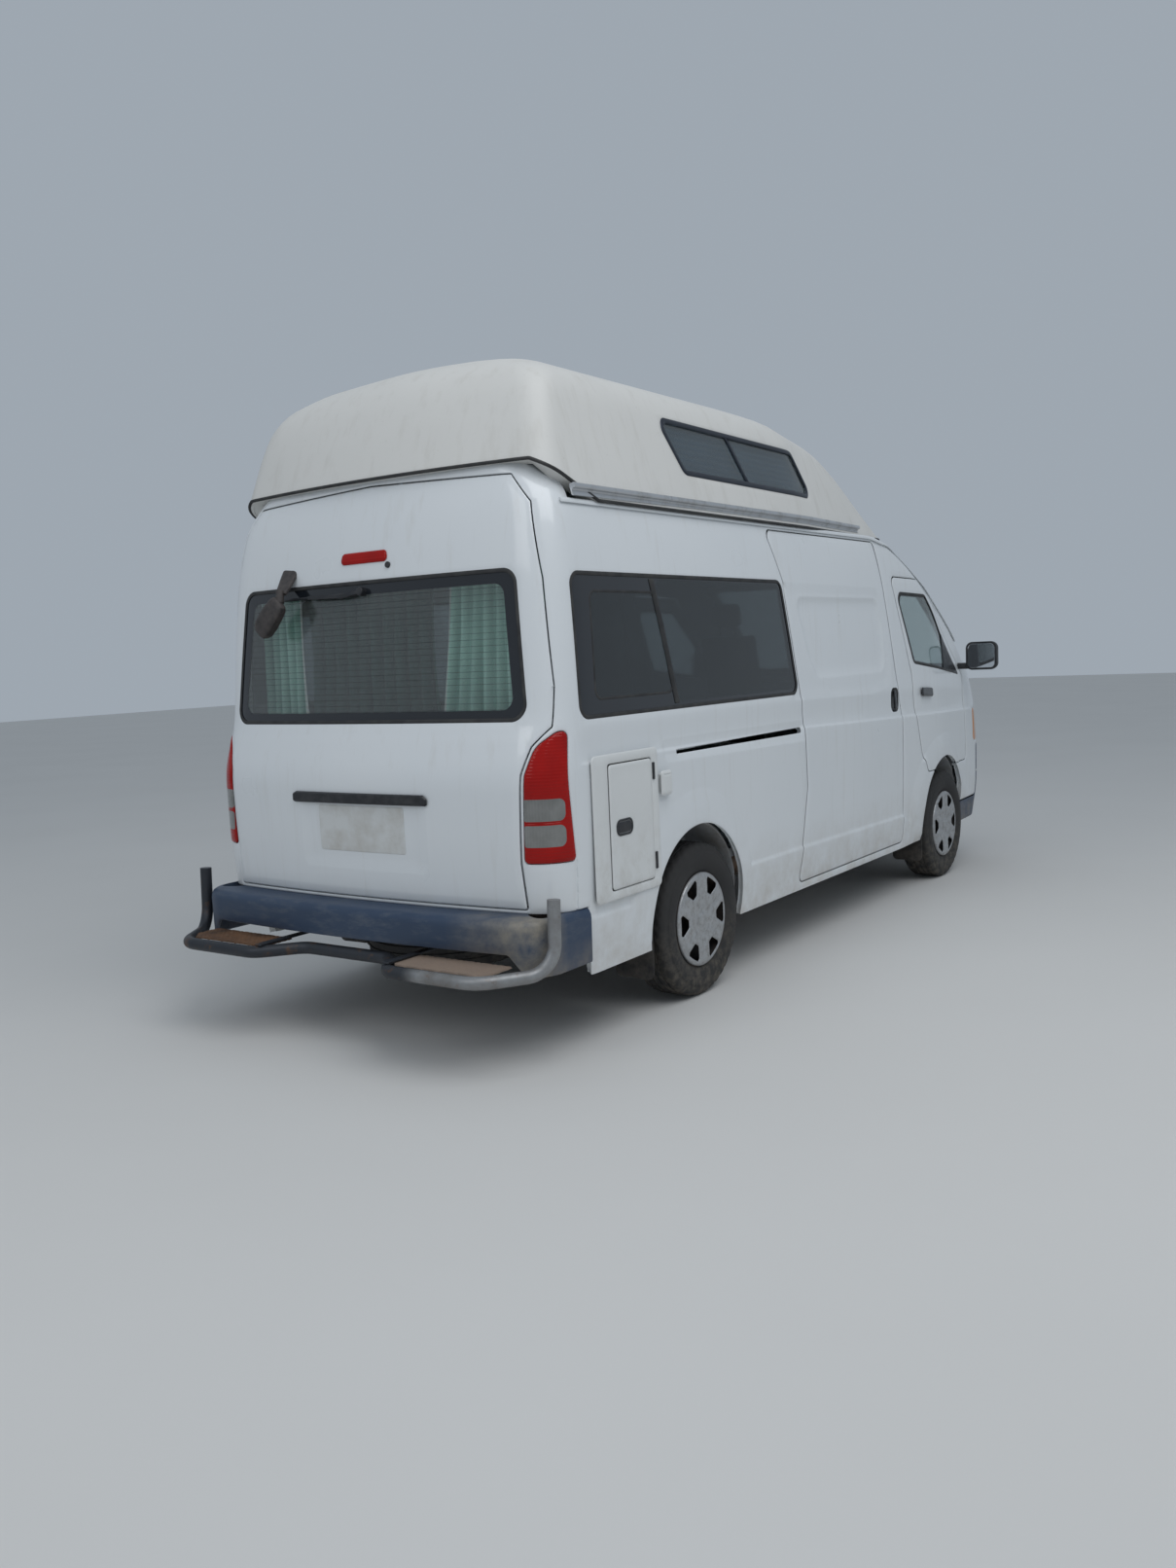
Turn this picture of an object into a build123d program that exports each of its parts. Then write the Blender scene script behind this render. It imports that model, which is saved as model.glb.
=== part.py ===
from build123d import *
import math
import os
from collections import namedtuple

# Camper van: a long cab-over van with a moulded high roof, cab doors, sliding side doors and a lift-up hatch.
# Frame: millimetres, the ground at z 0, nose toward -Y, the van's left side toward +X, origin mid length.

# Axles, wheels and tyres
FRONT_AXLE_Y = -1760
REAR_AXLE_Y = 1350
TRACK_HALF = 827
AXLE_Z = 338
TYRE_RADIUS = 338
TYRE_SHOULDER = [(97.5, 262), (90, 316), (66, TYRE_RADIUS)]
BEAD_RADIUS = 200
BEAD_X = 76
FLANGE_RADIUS = 212
FLANGE_X = 82
BARREL_INNER_RADIUS = 188
TRIM_OPENINGS = 6
SPINDLE_RADIUS = 28
SPINDLE_END = 848
DRUM_RADIUS = 125
SLEEVE_RADIUS = 50
SLEEVE_A = (-12, 23)
DISC_A = (0, 8)
SPINDLE_CLEARANCE = 0.05
KINGPIN_X = 790
KINGPIN_RADIUS = 20
PIN_RADIUS = 10
PIN_CLEARANCE = 0.1

# Walls and gaps
SIDES = ("left", "right")
WALL = 40
GLASS_SET = 3
GLASS = 6
DOOR_GAP = 6
HI_TOP_WALL = 25
HI_TOP_DROP = 20
CUT_REACH = 10

# Cutting zones, each wide enough to pass right through what it cuts
SPAN_X = (-1100, 1100)
SIDE_X = (560, 1060)
NOSE_Y = -2900
TAIL_Y = 2900
GROUND_Z = 0
SCREEN_Y = (-2800, -1500)
GRILLE_Y = (NOSE_Y, -2600)
BONNET_Y = (NOSE_Y, -2560)
WIPER_Y = (NOSE_Y, -2300)

# Corner radii of the openings
DOOR_CORNER = 40
CAB_WINDOW_CORNER = 45
SIDE_WINDOW_CORNER = 50
BIG_GLASS_CORNER = 60
ROOF_WINDOW_CORNER = 45
LAMP_CORNER = 20
HEADLAMP_CORNER = 25

# Plan section of a shell at one height. half: half width; nose_half: half width behind the nose corners;
# nose, tail: where the middle of each end is; bow: how far an end's corners stand back; r: corner radius.
Section = namedtuple("Section", "z half nose_half nose bow nose_r tail tail_bow tail_r")
TAPER_MIN = 250
BODY_TAPER_END = -1650
BODY_SECTIONS = [
    Section(290, 905, 850, -2740, 70, 190, 2440, 40, 150),
    Section(500, 930, 878, -2775, 75, 200, 2465, 40, 150),
    Section(800, 938, 885, -2768, 80, 200, 2480, 40, 150),
    Section(1070, 940, 880, -2740, 95, 190, 2480, 40, 150),
    Section(1270, 928, 868, -2685, 125, 180, 2425, 40, 150),
    Section(1560, 915, 845, -2400, 150, 170, 2400, 40, 145),
    Section(1820, 900, 815, -2060, 170, 160, 2375, 40, 140),
    Section(1960, 884, 790, -1820, 190, 150, 2355, 38, 135),
    Section(2098, 860, 760, -1480, 220, 150, 2330, 36, 130),
    Section(2170, 815, 700, -1300, 230, 150, 2310, 34, 130),
    Section(2240, 740, 640, -1100, 230, 150, 2290, 32, 130),
]
HI_TOP_TAPER_END = 100
HI_TOP_SECTIONS = [
    Section(2098, 875, 800, -1500, 330, 140, 2345, 60, 110),
    Section(2240, 838, 765, -1290, 320, 140, 2322, 60, 110),
    Section(2420, 795, 725, -1020, 300, 140, 2262, 50, 100),
    Section(2540, 765, 700, -800, 320, 140, 2210, 40, 100),
    Section(2620, 715, 645, -560, 350, 160, 2155, 40, 120),
    Section(2690, 590, 520, -230, 300, 180, 2075, 40, 160),
    Section(2745, 380, 330, 300, 200, 160, 1960, 30, 160),
]
STEEL_TOP_Z = 2098
REAR_HEADER_Y = 2130
HEADER_CUT = [(-900, 2050), (-886, 2098), (-770, 2244), (770, 2244), (886, 2098), (900, 2050)]
ROOF_FRAME_PROUD = 5
DRIP_PROUD = 13
DRIP_LINE = [(2190, 2076), (2190, 2096), (-760, 2096), (-1250, 2022), (-1620, 1902), (-1860, 1796),
             (-2240, 1490), (-2230, 1472), (-1850, 1774), (-1610, 1882), (-1240, 2002), (-760, 2076)]
AWNING_PROUD = 26
AWNING_X = (-1000, -700)
AWNING_Y = (-700, 2130)
AWNING_Z = (2106, 2152)

# Wheel arches; ahead, behind, up: how far the raised flare reaches from the arch's centre
Arch = namedtuple("Arch", "y z radius inner_x ahead behind up")
ARCHES = [Arch(-1750, 370, 402, 520, 400, 640, 544), Arch(1378, 372, 392, 690, 490, 580, 540)]
ARCH_REACH = 500
WHEEL_BOX_WALL = 8
WHEEL_BOX_TOP = 1000
WHEEL_BOX_FOOT = 300

# Pressed forms: raised flares and sills, a sunk field for the slide rail, a sunk field on the sliding door
# with a blank window in it, and a sunk field for the plate on the hatch
FLARE_PROUD = 9
SILL_TOP = [(-1180, 250), (-1150, 420), (-1006, 482), (362, 502), (2300, 512), (2300, 250)]
SILL_PROUD = 8
FIELD_DEPTH = 6
BLANK_DEPTH = 12
SLIDE_FIELD = [(250, 1034), (1642, 1052), (1648, 1146), (250, 1134)]
SLIDE_FIELD_CORNER = 24
DOOR_FIELD = [(600, 1815), (-775, 1805), (-872, 1640), (-884, 1250), (-600, 1222), (500, 1240)]
DOOR_FIELD_CORNER = 45
BLANK_WINDOW = [(300, 1745), (-745, 1745), (-800, 1620), (-812, 1340), (100, 1337), (190, 1470)]
BLANK_WINDOW_CORNER = 45
PLATE_FIELD = [(-355, 690), (335, 690), (335, 985), (-355, 985)]
PLATE_FIELD_CORNER = 30

# Openings seen from the side, as (y, z)
FRONT_DOOR = [(-970, 1880), (-1490, 1872), (-2240, 1270), (-2250, 700), (-1412, 700), (-1327, 824),
              (-1228, 1100), (-1204, 1314)]
FRONT_DOOR_WINDOW = [(-1045, 1786), (-1510, 1775), (-2115, 1280), (-1255, 1372)]
SLIDING_DOOR = [(-1025, 325), (-1025, 1080), (-965, 1310), (-800, 2070), (550, 2070), (420, 1810),
                (310, 1260), (287, 800), (390, 325)]
SIDE_WINDOW = [(345, 1272), (2215, 1272), (2205, 1820), (455, 1820)]
ROOF_WINDOW = [(-110, 2262), (1215, 2270), (1355, 2505), (45, 2490)]
ROOF_WINDOW_FRAME = 20
SLIDE_SLOT_X = (926, 1000)
SLIDE_SLOT_Y = (335, 1537)
SLIDE_SLOT_Z = (1076, 1104)
SLIDING_HEAD = [(-740, 2050), (475, 2050), (475, 2070), (-740, 2070)]

# Openings seen from the end, as (x, z), right half of a pair or whole
HATCH_HALF = [(800, 572), (788, 750), (800, 1080), (830, 1180), (888, 1250), (888, 1400), (848, 1800),
              (790, 2085), (690, 2200)]
HATCH_CROWN_Z = 2225
HATCH_ZONE_Y = (2190, 2560)
DOOR_HANDLE = [(-1508, 1156), (-1328, 1168), (-1328, 1222), (-1508, 1212)]
DOOR_HANDLE_CORNER = 14
SLIDING_HANDLE = [(-975, 1100), (-862, 1100), (-862, 1240), (-975, 1240)]
SLIDING_HANDLE_CORNER = 40
SLIDING_BAR = [(-948, 1112), (-918, 1112), (-918, 1228), (-948, 1228)]
HANDLE_PROUD = 24
HANDLE_RECESS = 18
HATCH_WINDOW = [(-800, 1278), (800, 1278), (742, 1840), (-742, 1840)]
TAIL_LAMP = [(796, 748), (808, 1078), (838, 1182), (898, 1236), (1000, 1236), (1000, 748)]
TAIL_LAMP_Y = 2290
TAIL_LAMP_PROUD = 5
WINDSCREEN = [(-790, 1294), (790, 1294), (722, 1952), (-722, 1952)]
HEADLAMP = [(540, 800), (960, 815), (960, 1045), (640, 1004), (540, 984)]
HEADLAMP_Y = -2440
GRILLE = [(-535, 800), (535, 800), (535, 984), (-535, 984)]
GRILLE_SLOT_X = (-505, 505)
GRILLE_SLOT_Z = [(822, 846), (860, 884), (898, 922), (936, 960)]
GRILLE_SLOT_DEPTH = 28
BONNET = [(-612, 1012), (612, 1012), (612, 1256), (-612, 1256)]

# Service locker in the right-hand wall, behind the rear wheel
LOCKER_DOOR_Y = (1772, 2090)
LOCKER_DOOR_Z = (592, 1090)
LOCKER_FRAME_Y = (1722, 2196)
LOCKER_FRAME_Z = (556, 1128)
LOCKER_SLEEVE = 14
LOCKER_FRAME_X = (-953, -941)
LOCKER_BOX_X = -640
LOCKER_HOLE_X = (-1000, -840)
LOCKER_GAP = 5
LOCKER_DOOR_X = (-958, -938)
LOCKER_CORNER = 12
INLET_Y = (1634, 1716)
INLET_Z = (922, 1026)
INLET_X = (-968, -941)

# Bumpers
FRONT_BUMPER = [(-2900, 200), (-2100, 200), (-2100, 440), (-2500, 440), (-2500, 790), (-2900, 790)]
REAR_BUMPER_Y = 2226
REAR_BUMPER_TOP = 560
REAR_BUMPER_WALL = 50
REAR_BUMPER_EDGE = 430
REAR_BUMPER_TAIL_X = (-860, 860)
REAR_BUMPER_SHELF_Y = 2436
REAR_BUMPER_INNER_Y = 2400
REAR_BUMPER_SECTIONS = [
    Section(345, 925, 925, -300, 20, 100, 2575, 35, 150),
    Section(380, 943, 943, -300, 20, 100, 2600, 35, 165),
    Section(525, 945, 945, -300, 20, 100, 2605, 35, 165),
    Section(560, 936, 936, -300, 20, 100, 2596, 35, 160),
]

# Hatch fittings, as (x, z), and how far each stands off the panel
PULL_BAR = [(-375, 952), (375, 952), (375, 1002), (-375, 1002)]
PULL_BAR_PROUD = 20
BLANK_PLATE = [(-240, 760), (232, 760), (232, 948), (-240, 948)]
BLANK_PLATE_PROUD = 4
STOP_LAMP = [(-132, 1912), (132, 1912), (122, 1960), (-122, 1960)]
STOP_LAMP_PROUD = 8
FITTING_CORNER = 8
WIPER_PIVOT_RADIUS = 18
WIPER_ARM_WIDTH = 14
REAR_WIPER_HEIGHTS = (12, 26)
FRONT_WIPER_HEIGHTS = (10, 24)

# Step bar: tube radius, centre line as (x, y, z) on the left half, and bend radii
STEP_TUBE = 25
STEP_LINE = [(965, 2490, 640), (965, 2500, 371), (800, 2750, 371), (370, 2750, 371), (235, 2590, 371)]
STEP_RADII = [110, 120, 90, 90]
STEP_PLATE = (345, 820, 2560, 2742)
STEP_PLATE_Z = (382, 390)
STEP_BRACKET_X = (338, 372)
STEP_BRACKET_Y = (2250, 2740)
STEP_BRACKET_THICK = 9
STEP_SPACER_Y = (2250, 2420)

# Underbody, as y or z limits
SPARE_CENTRE = (0, 1990, 330)
FLOOR_Z = (560, 600)
FLOOR_Y = (-2720, 2400)
PLATFORM_Z = (600, 880)
PLATFORM_Y = (-2060, -1240)
PLATFORM_WALL = 15
RAIL_X = (320, 390)
RAIL_Z = (440, 560)
RAIL_Y = (-2560, 2430)
JACK_PADS = [(355, -1000), (355, 640)]
JACK_PAD = (60, 80, 20)
CROSS_Y = [(-2560, -2490), (-720, -650), (450, 520), (2370, 2430)]
CROSS_Z = (470, 530)
ENGINE_BLOCK = ((-230, 230), (-1990, -1260), (400, 700))
ENGINE_SUMP = ((-170, 170), (-1900, -1330), (262, 400))
ENGINE_COVER = ((-90, 130), (-1940, -1310), (700, 830))
ENGINE_CORNER = 18
SUSPENSION_BRACKET = ((390, 420), (-1850, -1670), (190, 560))
SUSPENSION_CROSS = ((-390, 390), (-1820, -1700), (190, 250))
ARM_Z = {"lower": (212, 234), "upper": (442, 462)}
TANK = ((410, 800), (-880, 120), (300, 552))
TANK_CORNER = 60
GEARBOX_RADIUS = 140
GEARBOX_LENGTH = 480
GEARBOX_TAPER = 8
SHAFT_LINE = ((0, -800, 420), (0, 1217, 350))
SHAFT_RADIUS = 36
EXHAUST_LINE = [(-300, -1240, 330), (-300, 700, 330), (-440, 1000, 420), (-440, 1700, 420), (-620, 1950, 330),
                (-820, 1990, 320)]
EXHAUST_BEND = 90
EXHAUST_RADIUS = 26
MUFFLER_LINE = ((-230, -420, 330), (-230, 560, 330))
MUFFLER_RADIUS = 105
SPRING_X = (530, 590)
SPRING_EYES = [(720, 490), (2010, 500)]
AXLE_TUBE = 42
DIFF_RADIUS = 125
SPRING_LEAF = 30
SPRING_SEAT = 3
HANGER_HALF_LENGTH = 30
HANGER_LAP = 10
HANGER_MARGIN = 12
DRUM_X = (700, 770)
DIFF_X = (70, 130)
ARM_INNER = [(410, -1850), (410, -1670)]
ARM_HALF_WIDTH = 26
POST_CLEARANCE = 0.5
KNUCKLE_BARREL = (22, 44)
DISC_CLEARANCE = 2
SLEEVE_CAP = 12
TRIM_CUT_X = (40, 120)
SPARE_POST_RADIUS = 30
SPARE_BAR_HALF_WIDTH = 25
SPARE_BAR_THICK = 10

# Mud flaps behind the wheels
FLAP_X = (720, 915)
FLAP_INSET = (24, 10)
FLAP_FOOT_Z = 155
FLAP_RISE = 150
FLAP_CUT_X = (700, 930)

# Wheel trim as (axial, radius), and one of its openings as (sideways, radius)
TRIM_OUTLINE = [(82, 200), (82, 209), (88, 209), (98, 170), (98, 120), (92, 60), (92, 0), (86, 0), (86, 62),
                (91, 120), (90, 176)]
TRIM_OPENING = [(-16, 118), (16, 118), (46, 168), (42, 184), (-42, 184), (-46, 168)]

# Mirrors and wipers
MIRROR_HEAD = ((936, 1140), (-2235, -2150), (1294, 1478))
MIRROR_CORNER = 50
MIRROR_ARM_X = (862, 941)
MIRROR_ARM_Y = (-2205, -2165)
MIRROR_ARM_Z = (1300, 1345)
HATCH_MIRROR = ((405, 2330, 1915), (455, 2450, 1740))
HATCH_MIRROR_TURN = -35
HATCH_MIRROR_HEAD = (110, 60, 190)
HATCH_MIRROR_CORNER = 30
HATCH_MIRROR_ARM = 9
WIPERS = [((-80, 1274), (540, 1330)), ((-640, 1274), (-30, 1352))]
REAR_WIPER = ((0, 1800), (470, 1790))

# Cab
SEAT_X = (165, 635)
SEAT_BASE = [(-1960, 881), (-1470, 881), (-1450, 935), (-1970, 935)]
SEAT_CUSHION = [(-2000, 936), (-1440, 936), (-1450, 1035), (-1990, 1050)]
SEAT_BACK = [(-1570, 1040), (-1440, 1036), (-1330, 1600), (-1420, 1610)]
HEADREST = [(-1415, 1640), (-1340, 1640), (-1320, 1800), (-1395, 1805)]
DASH = [(-2700, 960), (-2345, 935), (-2295, 1110), (-2400, 1225), (-2700, 1245)]
HEADREST_POSTS = [(-1375, 1600), (-1365, 1650)]
HEADREST_POST_OFFSET = 60
HEADREST_POST_RADIUS = 7
SEAT_CORNER = 30
HEADREST_CORNER = 20
BASE_MARGIN = 30
BACK_MARGIN = 10
HEADREST_MARGIN = 100
DASH_X = 800
DASH_CORNER = 25
DASH_GAP = 6
STEERING_CENTRE = (-400, -2185, 1165)
STEERING_TILT = 32
STEERING_RADIUS = 185
STEERING_RIM = 14
COLUMN_RADIUS = 14
COLUMN_CLEARANCE = 0.3
SHROUD_RADIUS = 36
SHROUD_REACH = (60, 330)
SHROUD_BORE = (50, 260)
HUB_RADIUS = 48
HUB_REACH = (30, 12)
COLUMN_LENGTH = 250
SPOKE_RADIUS = 10
SPOKE_ANGLES = (20, 160, 270)
CURTAIN_Y = (2200, 2230)
CURTAIN_Z = (1262, 1894)
CURTAIN_X = [(-800, -520), (-500, 500), (520, 800)]
CURTAIN_RAIL = 9
CURTAIN_RAIL_HALF = 900


def rows_wire(s, inset, taper_end):
    """Closed plan outline: bowed nose, nose corners, tapered then straight sides, tail corners and tail."""
    nose_r, tail_r = s.nose_r - inset, s.tail_r - inset
    half, nose_half = s.half - inset, s.nose_half - inset
    nose, tail = s.nose + inset, s.tail - inset
    lean = 1 - math.sqrt(0.5)
    nose_corner_y, tail_corner_y = nose + s.bow, tail - s.tail_bow
    taper_end = max(taper_end, s.nose + s.bow + s.nose_r + TAPER_MIN)
    right = [
        ThreePointArc(
            (nose_half - nose_r, nose_corner_y),
            (nose_half - nose_r * lean, nose_corner_y + nose_r * lean),
            (nose_half, nose_corner_y + nose_r),
        ),
        Line((nose_half, nose_corner_y + nose_r), (half, taper_end)),
        Line((half, taper_end), (half, tail_corner_y - tail_r)),
        ThreePointArc(
            (half, tail_corner_y - tail_r),
            (half - tail_r * lean, tail_corner_y - tail_r * lean),
            (half - tail_r, tail_corner_y),
        ),
    ]
    left = [mirror(edge, Plane.YZ) for edge in right]
    nose_ends = [(side * (nose_half - nose_r), nose_corner_y) for side in (-1, 1)]
    nose_arc = ThreePointArc(nose_ends[0], (0, nose), nose_ends[1])
    tail_arc = ThreePointArc((half - tail_r, tail_corner_y), (0, tail), (tail_r - half, tail_corner_y))
    edges = [nose_arc] + right + [tail_arc] + left[::-1]
    wire = Wire([edge.edge() if hasattr(edge, "edge") else edge for edge in edges])
    return wire.moved(Location((0, 0, s.z)))


def loft_rows(rows, inset, taper_end, reach=0):
    """Ruled solid through the plan outlines, pushed past both ends by reach."""
    first, last = rows[0], rows[-1]
    rows = [first._replace(z=first.z - reach)] + rows[1:-1] + [last._replace(z=last.z + reach)]
    return Solid.make_loft([rows_wire(s, inset, taper_end) for s in rows], ruled=True)


hulls = {}


def hull(inset):
    """The steel body's outer form, moved inward by inset; an inner form also runs out of both ends."""
    if inset not in hulls:
        hulls[inset] = loft_rows(BODY_SECTIONS, inset, BODY_TAPER_END, CUT_REACH if inset > 0 else 0)
    return hulls[inset]


def roof_hull(inset):
    """The moulded roof's outer form, moved inward by inset."""
    return loft_rows(HI_TOP_SECTIONS, inset, HI_TOP_TAPER_END)


def polygon(points, radius=0, grow=0):
    """Flat face through the points, taken anticlockwise, grown or shrunk, with rounded corners."""
    turn = sum(a[0] * b[1] - b[0] * a[1] for a, b in zip(points, points[1:] + points[:1]))
    face = Polygon(*(points if turn > 0 else points[::-1]), align=None)
    if grow:
        face = offset(face, amount=grow, kind=Kind.INTERSECTION)
    if radius:
        face = fillet(face.vertices(), radius)
    return face


def along_x(face, x0, x1):
    """Prism of a (y, z) face from x0 to x1."""
    return extrude(Plane((x0, 0, 0), x_dir=(0, 1, 0), z_dir=(1, 0, 0)) * face, amount=x1 - x0)


def along_y(face, y0, y1):
    """Prism of an (x, z) face from y0 to y1."""
    return extrude(Plane((0, y1, 0), x_dir=(1, 0, 0), z_dir=(0, -1, 0)) * face, amount=y1 - y0)


def along_z(face, z0, z1):
    """Prism of an (x, y) face from z0 to z1."""
    return extrude(Plane((0, 0, z0)) * face, amount=z1 - z0)


def block(x, y, z):
    """Box between two limits on each axis."""
    size = [hi - lo for lo, hi in (x, y, z)]
    middle = [(hi + lo) / 2 for lo, hi in (x, y, z)]
    return Location(middle) * Box(*size)


def strip(start, end, width):
    """Corners of a straight band between two points of a plane."""
    run, rise = end[0] - start[0], end[1] - start[1]
    side_x, side_y = -rise * width / 2 / math.hypot(run, rise), run * width / 2 / math.hypot(run, rise)
    return [(start[0] + side_x, start[1] + side_y), (start[0] - side_x, start[1] - side_y),
            (end[0] - side_x, end[1] - side_y), (end[0] + side_x, end[1] + side_y)]


def arc_band(start, middle, end, thick):
    """Flat face between an arc through three points and the same arc moved up by thick."""
    low = ThreePointArc(start, middle, end)
    high = Pos(0, thick) * low
    return make_face([low, Line(low @ 1, high @ 1), high, Line(high @ 0, low @ 0)])


def both(shape):
    """The left-hand shape and its mirror image."""
    return [shape, mirror(shape, Plane.YZ)]


def rod(start, end, radius):
    """Round bar between two points."""
    start, end = Vector(*start), Vector(*end)
    return extrude(Plane(start, z_dir=end - start) * Circle(radius), amount=(end - start).length)


def ring(points):
    """Solid turned from a closed (axial, radius) outline about the X axis."""
    return revolve(Plane.XZ * polygon(points), axis=Axis.X)


def washer(x0, x1, inner, outer):
    """Flat ring about the X axis between two radii."""
    return ring([(x0, inner), (x1, inner), (x1, outer), (x0, outer)])


def solids_of(shape):
    """All solids in a shape or list of shapes."""
    if isinstance(shape, (list, tuple)):
        return [solid for item in shape for solid in solids_of(item)]
    return list(shape.solids())


def save(name, shape):
    """Write a node's solids to its STEP file."""
    found = solids_of(shape)
    result = found[0] if len(found) == 1 else Compound(children=found)
    result.label = name
    export_step(result, f"parts/{name}.step")


def grown(limits, by):
    """Two limits moved apart by the same amount."""
    return limits[0] - by, limits[1] + by


def side_zone(face):
    """Prism that cuts one left-hand side wall."""
    return along_x(face, *SIDE_X)


def hatch_outline(grow):
    """Outline of the hatch as seen from behind."""
    left_edge = [(-x, z) for x, z in HATCH_HALF[::-1]]
    return polygon(HATCH_HALF + [(0, HATCH_CROWN_Z)] + left_edge, grow=grow)


def skin(zone, outer, inner):
    """The stretch of the steel body's wall inside a zone, between two depths under its outer form."""
    return (hull(outer) & zone) - hull(inner)


def sunk(panel, zone, depth):
    """A panel with the zone's outline pressed in by depth."""
    return panel - (zone - hull(depth))


def raised(panel, zone, height, limits):
    """A panel with the zone's outline standing out by height, kept inside its own limits."""
    return panel + ((hull(-height) & zone & limits) - hull(WALL / 2))


def arch_cut(arch, radius):
    """Left-hand cylinder about a wheel arch's centre, from its inner wall outward."""
    return along_x(Pos(arch.y, arch.z) * Circle(radius), arch.inner_x, SIDE_X[1])


def flare(arch):
    """Face under a wheel arch's flare: two half ellipses of unequal length that meet over its centre."""
    halves = []
    for reach, turn in ((arch.ahead, -1), (arch.behind, 1)):
        halves.append(Ellipse(reach, arch.up) & (Pos(turn * reach, 0) * Rectangle(2 * reach, 2 * arch.up)))
    return Pos(arch.y, arch.z) * (halves[0] + halves[1])


os.makedirs("parts", exist_ok=True)

arch_cuts = [shape for arch in ARCHES for shape in both(arch_cut(arch, arch.radius))]
flare_zones = [side_zone(flare(arch)) for arch in ARCHES]
sill_zone = side_zone(polygon(SILL_TOP))

front_door_hole = side_zone(polygon(FRONT_DOOR, DOOR_CORNER))
front_door_zone = side_zone(polygon(FRONT_DOOR, DOOR_CORNER - DOOR_GAP, grow=-DOOR_GAP))
window_zone = side_zone(polygon(FRONT_DOOR_WINDOW, CAB_WINDOW_CORNER))
sliding_hole = side_zone(polygon(SLIDING_DOOR, DOOR_CORNER))
sliding_zone = side_zone(polygon(SLIDING_DOOR, DOOR_CORNER - DOOR_GAP, grow=-DOOR_GAP))
side_window_zone = side_zone(polygon(SIDE_WINDOW, SIDE_WINDOW_CORNER))
slot_zone = block(SLIDE_SLOT_X, SLIDE_SLOT_Y, SLIDE_SLOT_Z)
slide_field = side_zone(polygon(SLIDE_FIELD, SLIDE_FIELD_CORNER))
hatch_hole = along_y(hatch_outline(0), *HATCH_ZONE_Y)
hatch_zone = along_y(hatch_outline(-DOOR_GAP), *HATCH_ZONE_Y)
hatch_window_zone = along_y(polygon(HATCH_WINDOW, BIG_GLASS_CORNER), *HATCH_ZONE_Y)
lamp_zone = along_y(polygon(TAIL_LAMP, LAMP_CORNER), TAIL_LAMP_Y, HATCH_ZONE_Y[1])
windscreen_zone = along_y(polygon(WINDSCREEN, BIG_GLASS_CORNER), *SCREEN_Y)
headlamp_zone = along_y(polygon(HEADLAMP, HEADLAMP_CORNER), NOSE_Y, HEADLAMP_Y)
grille_zone = along_y(polygon(GRILLE), *GRILLE_Y)
bonnet_hole = along_y(polygon(BONNET, LAMP_CORNER), *BONNET_Y)
bonnet_zone = along_y(polygon(BONNET, LAMP_CORNER - 2, grow=-DOOR_GAP), *BONNET_Y)
front_bumper_zone = along_x(polygon(FRONT_BUMPER), *SPAN_X)
rear_bumper_zone = block(SPAN_X, (REAR_BUMPER_Y, TAIL_Y), (GROUND_Z, REAR_BUMPER_TOP))
sleeve_y, sleeve_z = grown(LOCKER_DOOR_Y, LOCKER_SLEEVE), grown(LOCKER_DOOR_Z, LOCKER_SLEEVE)
locker_hole = block(LOCKER_HOLE_X, sleeve_y, sleeve_z)
locker_seat = block((LOCKER_HOLE_X[0], LOCKER_FRAME_X[1]), LOCKER_FRAME_Y, LOCKER_FRAME_Z)

# Steel body: one shell with its pressed forms and every opening cut through it
shell = hull(0) - hull(WALL)
ahead_of_bumper = block(SPAN_X, (NOSE_Y, REAR_BUMPER_Y), (GROUND_Z, STEEL_TOP_Z))
for zone in both(flare_zones[0]) + both(flare_zones[1]):
    shell = raised(shell, zone, FLARE_PROUD, ahead_of_bumper)
for zone in both(sill_zone):
    shell = raised(shell, zone, SILL_PROUD, ahead_of_bumper)
for zone in both(slide_field):
    shell = sunk(shell, zone, FIELD_DEPTH)
shell -= block(SPAN_X, (NOSE_Y, REAR_HEADER_Y), (STEEL_TOP_Z, BODY_SECTIONS[-1].z + CUT_REACH))
for cut in both(front_door_hole) + both(sliding_hole) + both(side_window_zone) + both(slot_zone):
    shell -= cut
for cut in both(lamp_zone) + both(headlamp_zone) + arch_cuts:
    shell -= cut
for cut in (hatch_hole, windscreen_zone, grille_zone, bonnet_hole, front_bumper_zone, rear_bumper_zone):
    shell -= cut
for cut in (locker_hole, locker_seat):
    shell -= cut
save("body_shell", shell)

# Glass: a layer of the body's own form inside each opening
save("windscreen", skin(windscreen_zone, GLASS_SET, GLASS_SET + GLASS))
save("side_windows", both(skin(side_window_zone, GLASS_SET, GLASS_SET + GLASS)))

# Lamps and grille follow the skin
save("tail_lamps", both(skin(lamp_zone, -TAIL_LAMP_PROUD, WALL)))
save("headlamps", both(skin(headlamp_zone, 0, WALL)))
grille = skin(grille_zone, 0, WALL)
for slot_z in GRILLE_SLOT_Z:
    grille = sunk(grille, block(GRILLE_SLOT_X, GRILLE_Y, slot_z), GRILLE_SLOT_DEPTH)
save("grille", grille)

# Front bumper: tall round the nose, and a low band from there to the wheel arches
front_bumper = skin(front_bumper_zone, 0, WALL)
for cut in arch_cuts:
    front_bumper -= cut
save("front_bumper", front_bumper)

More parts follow.
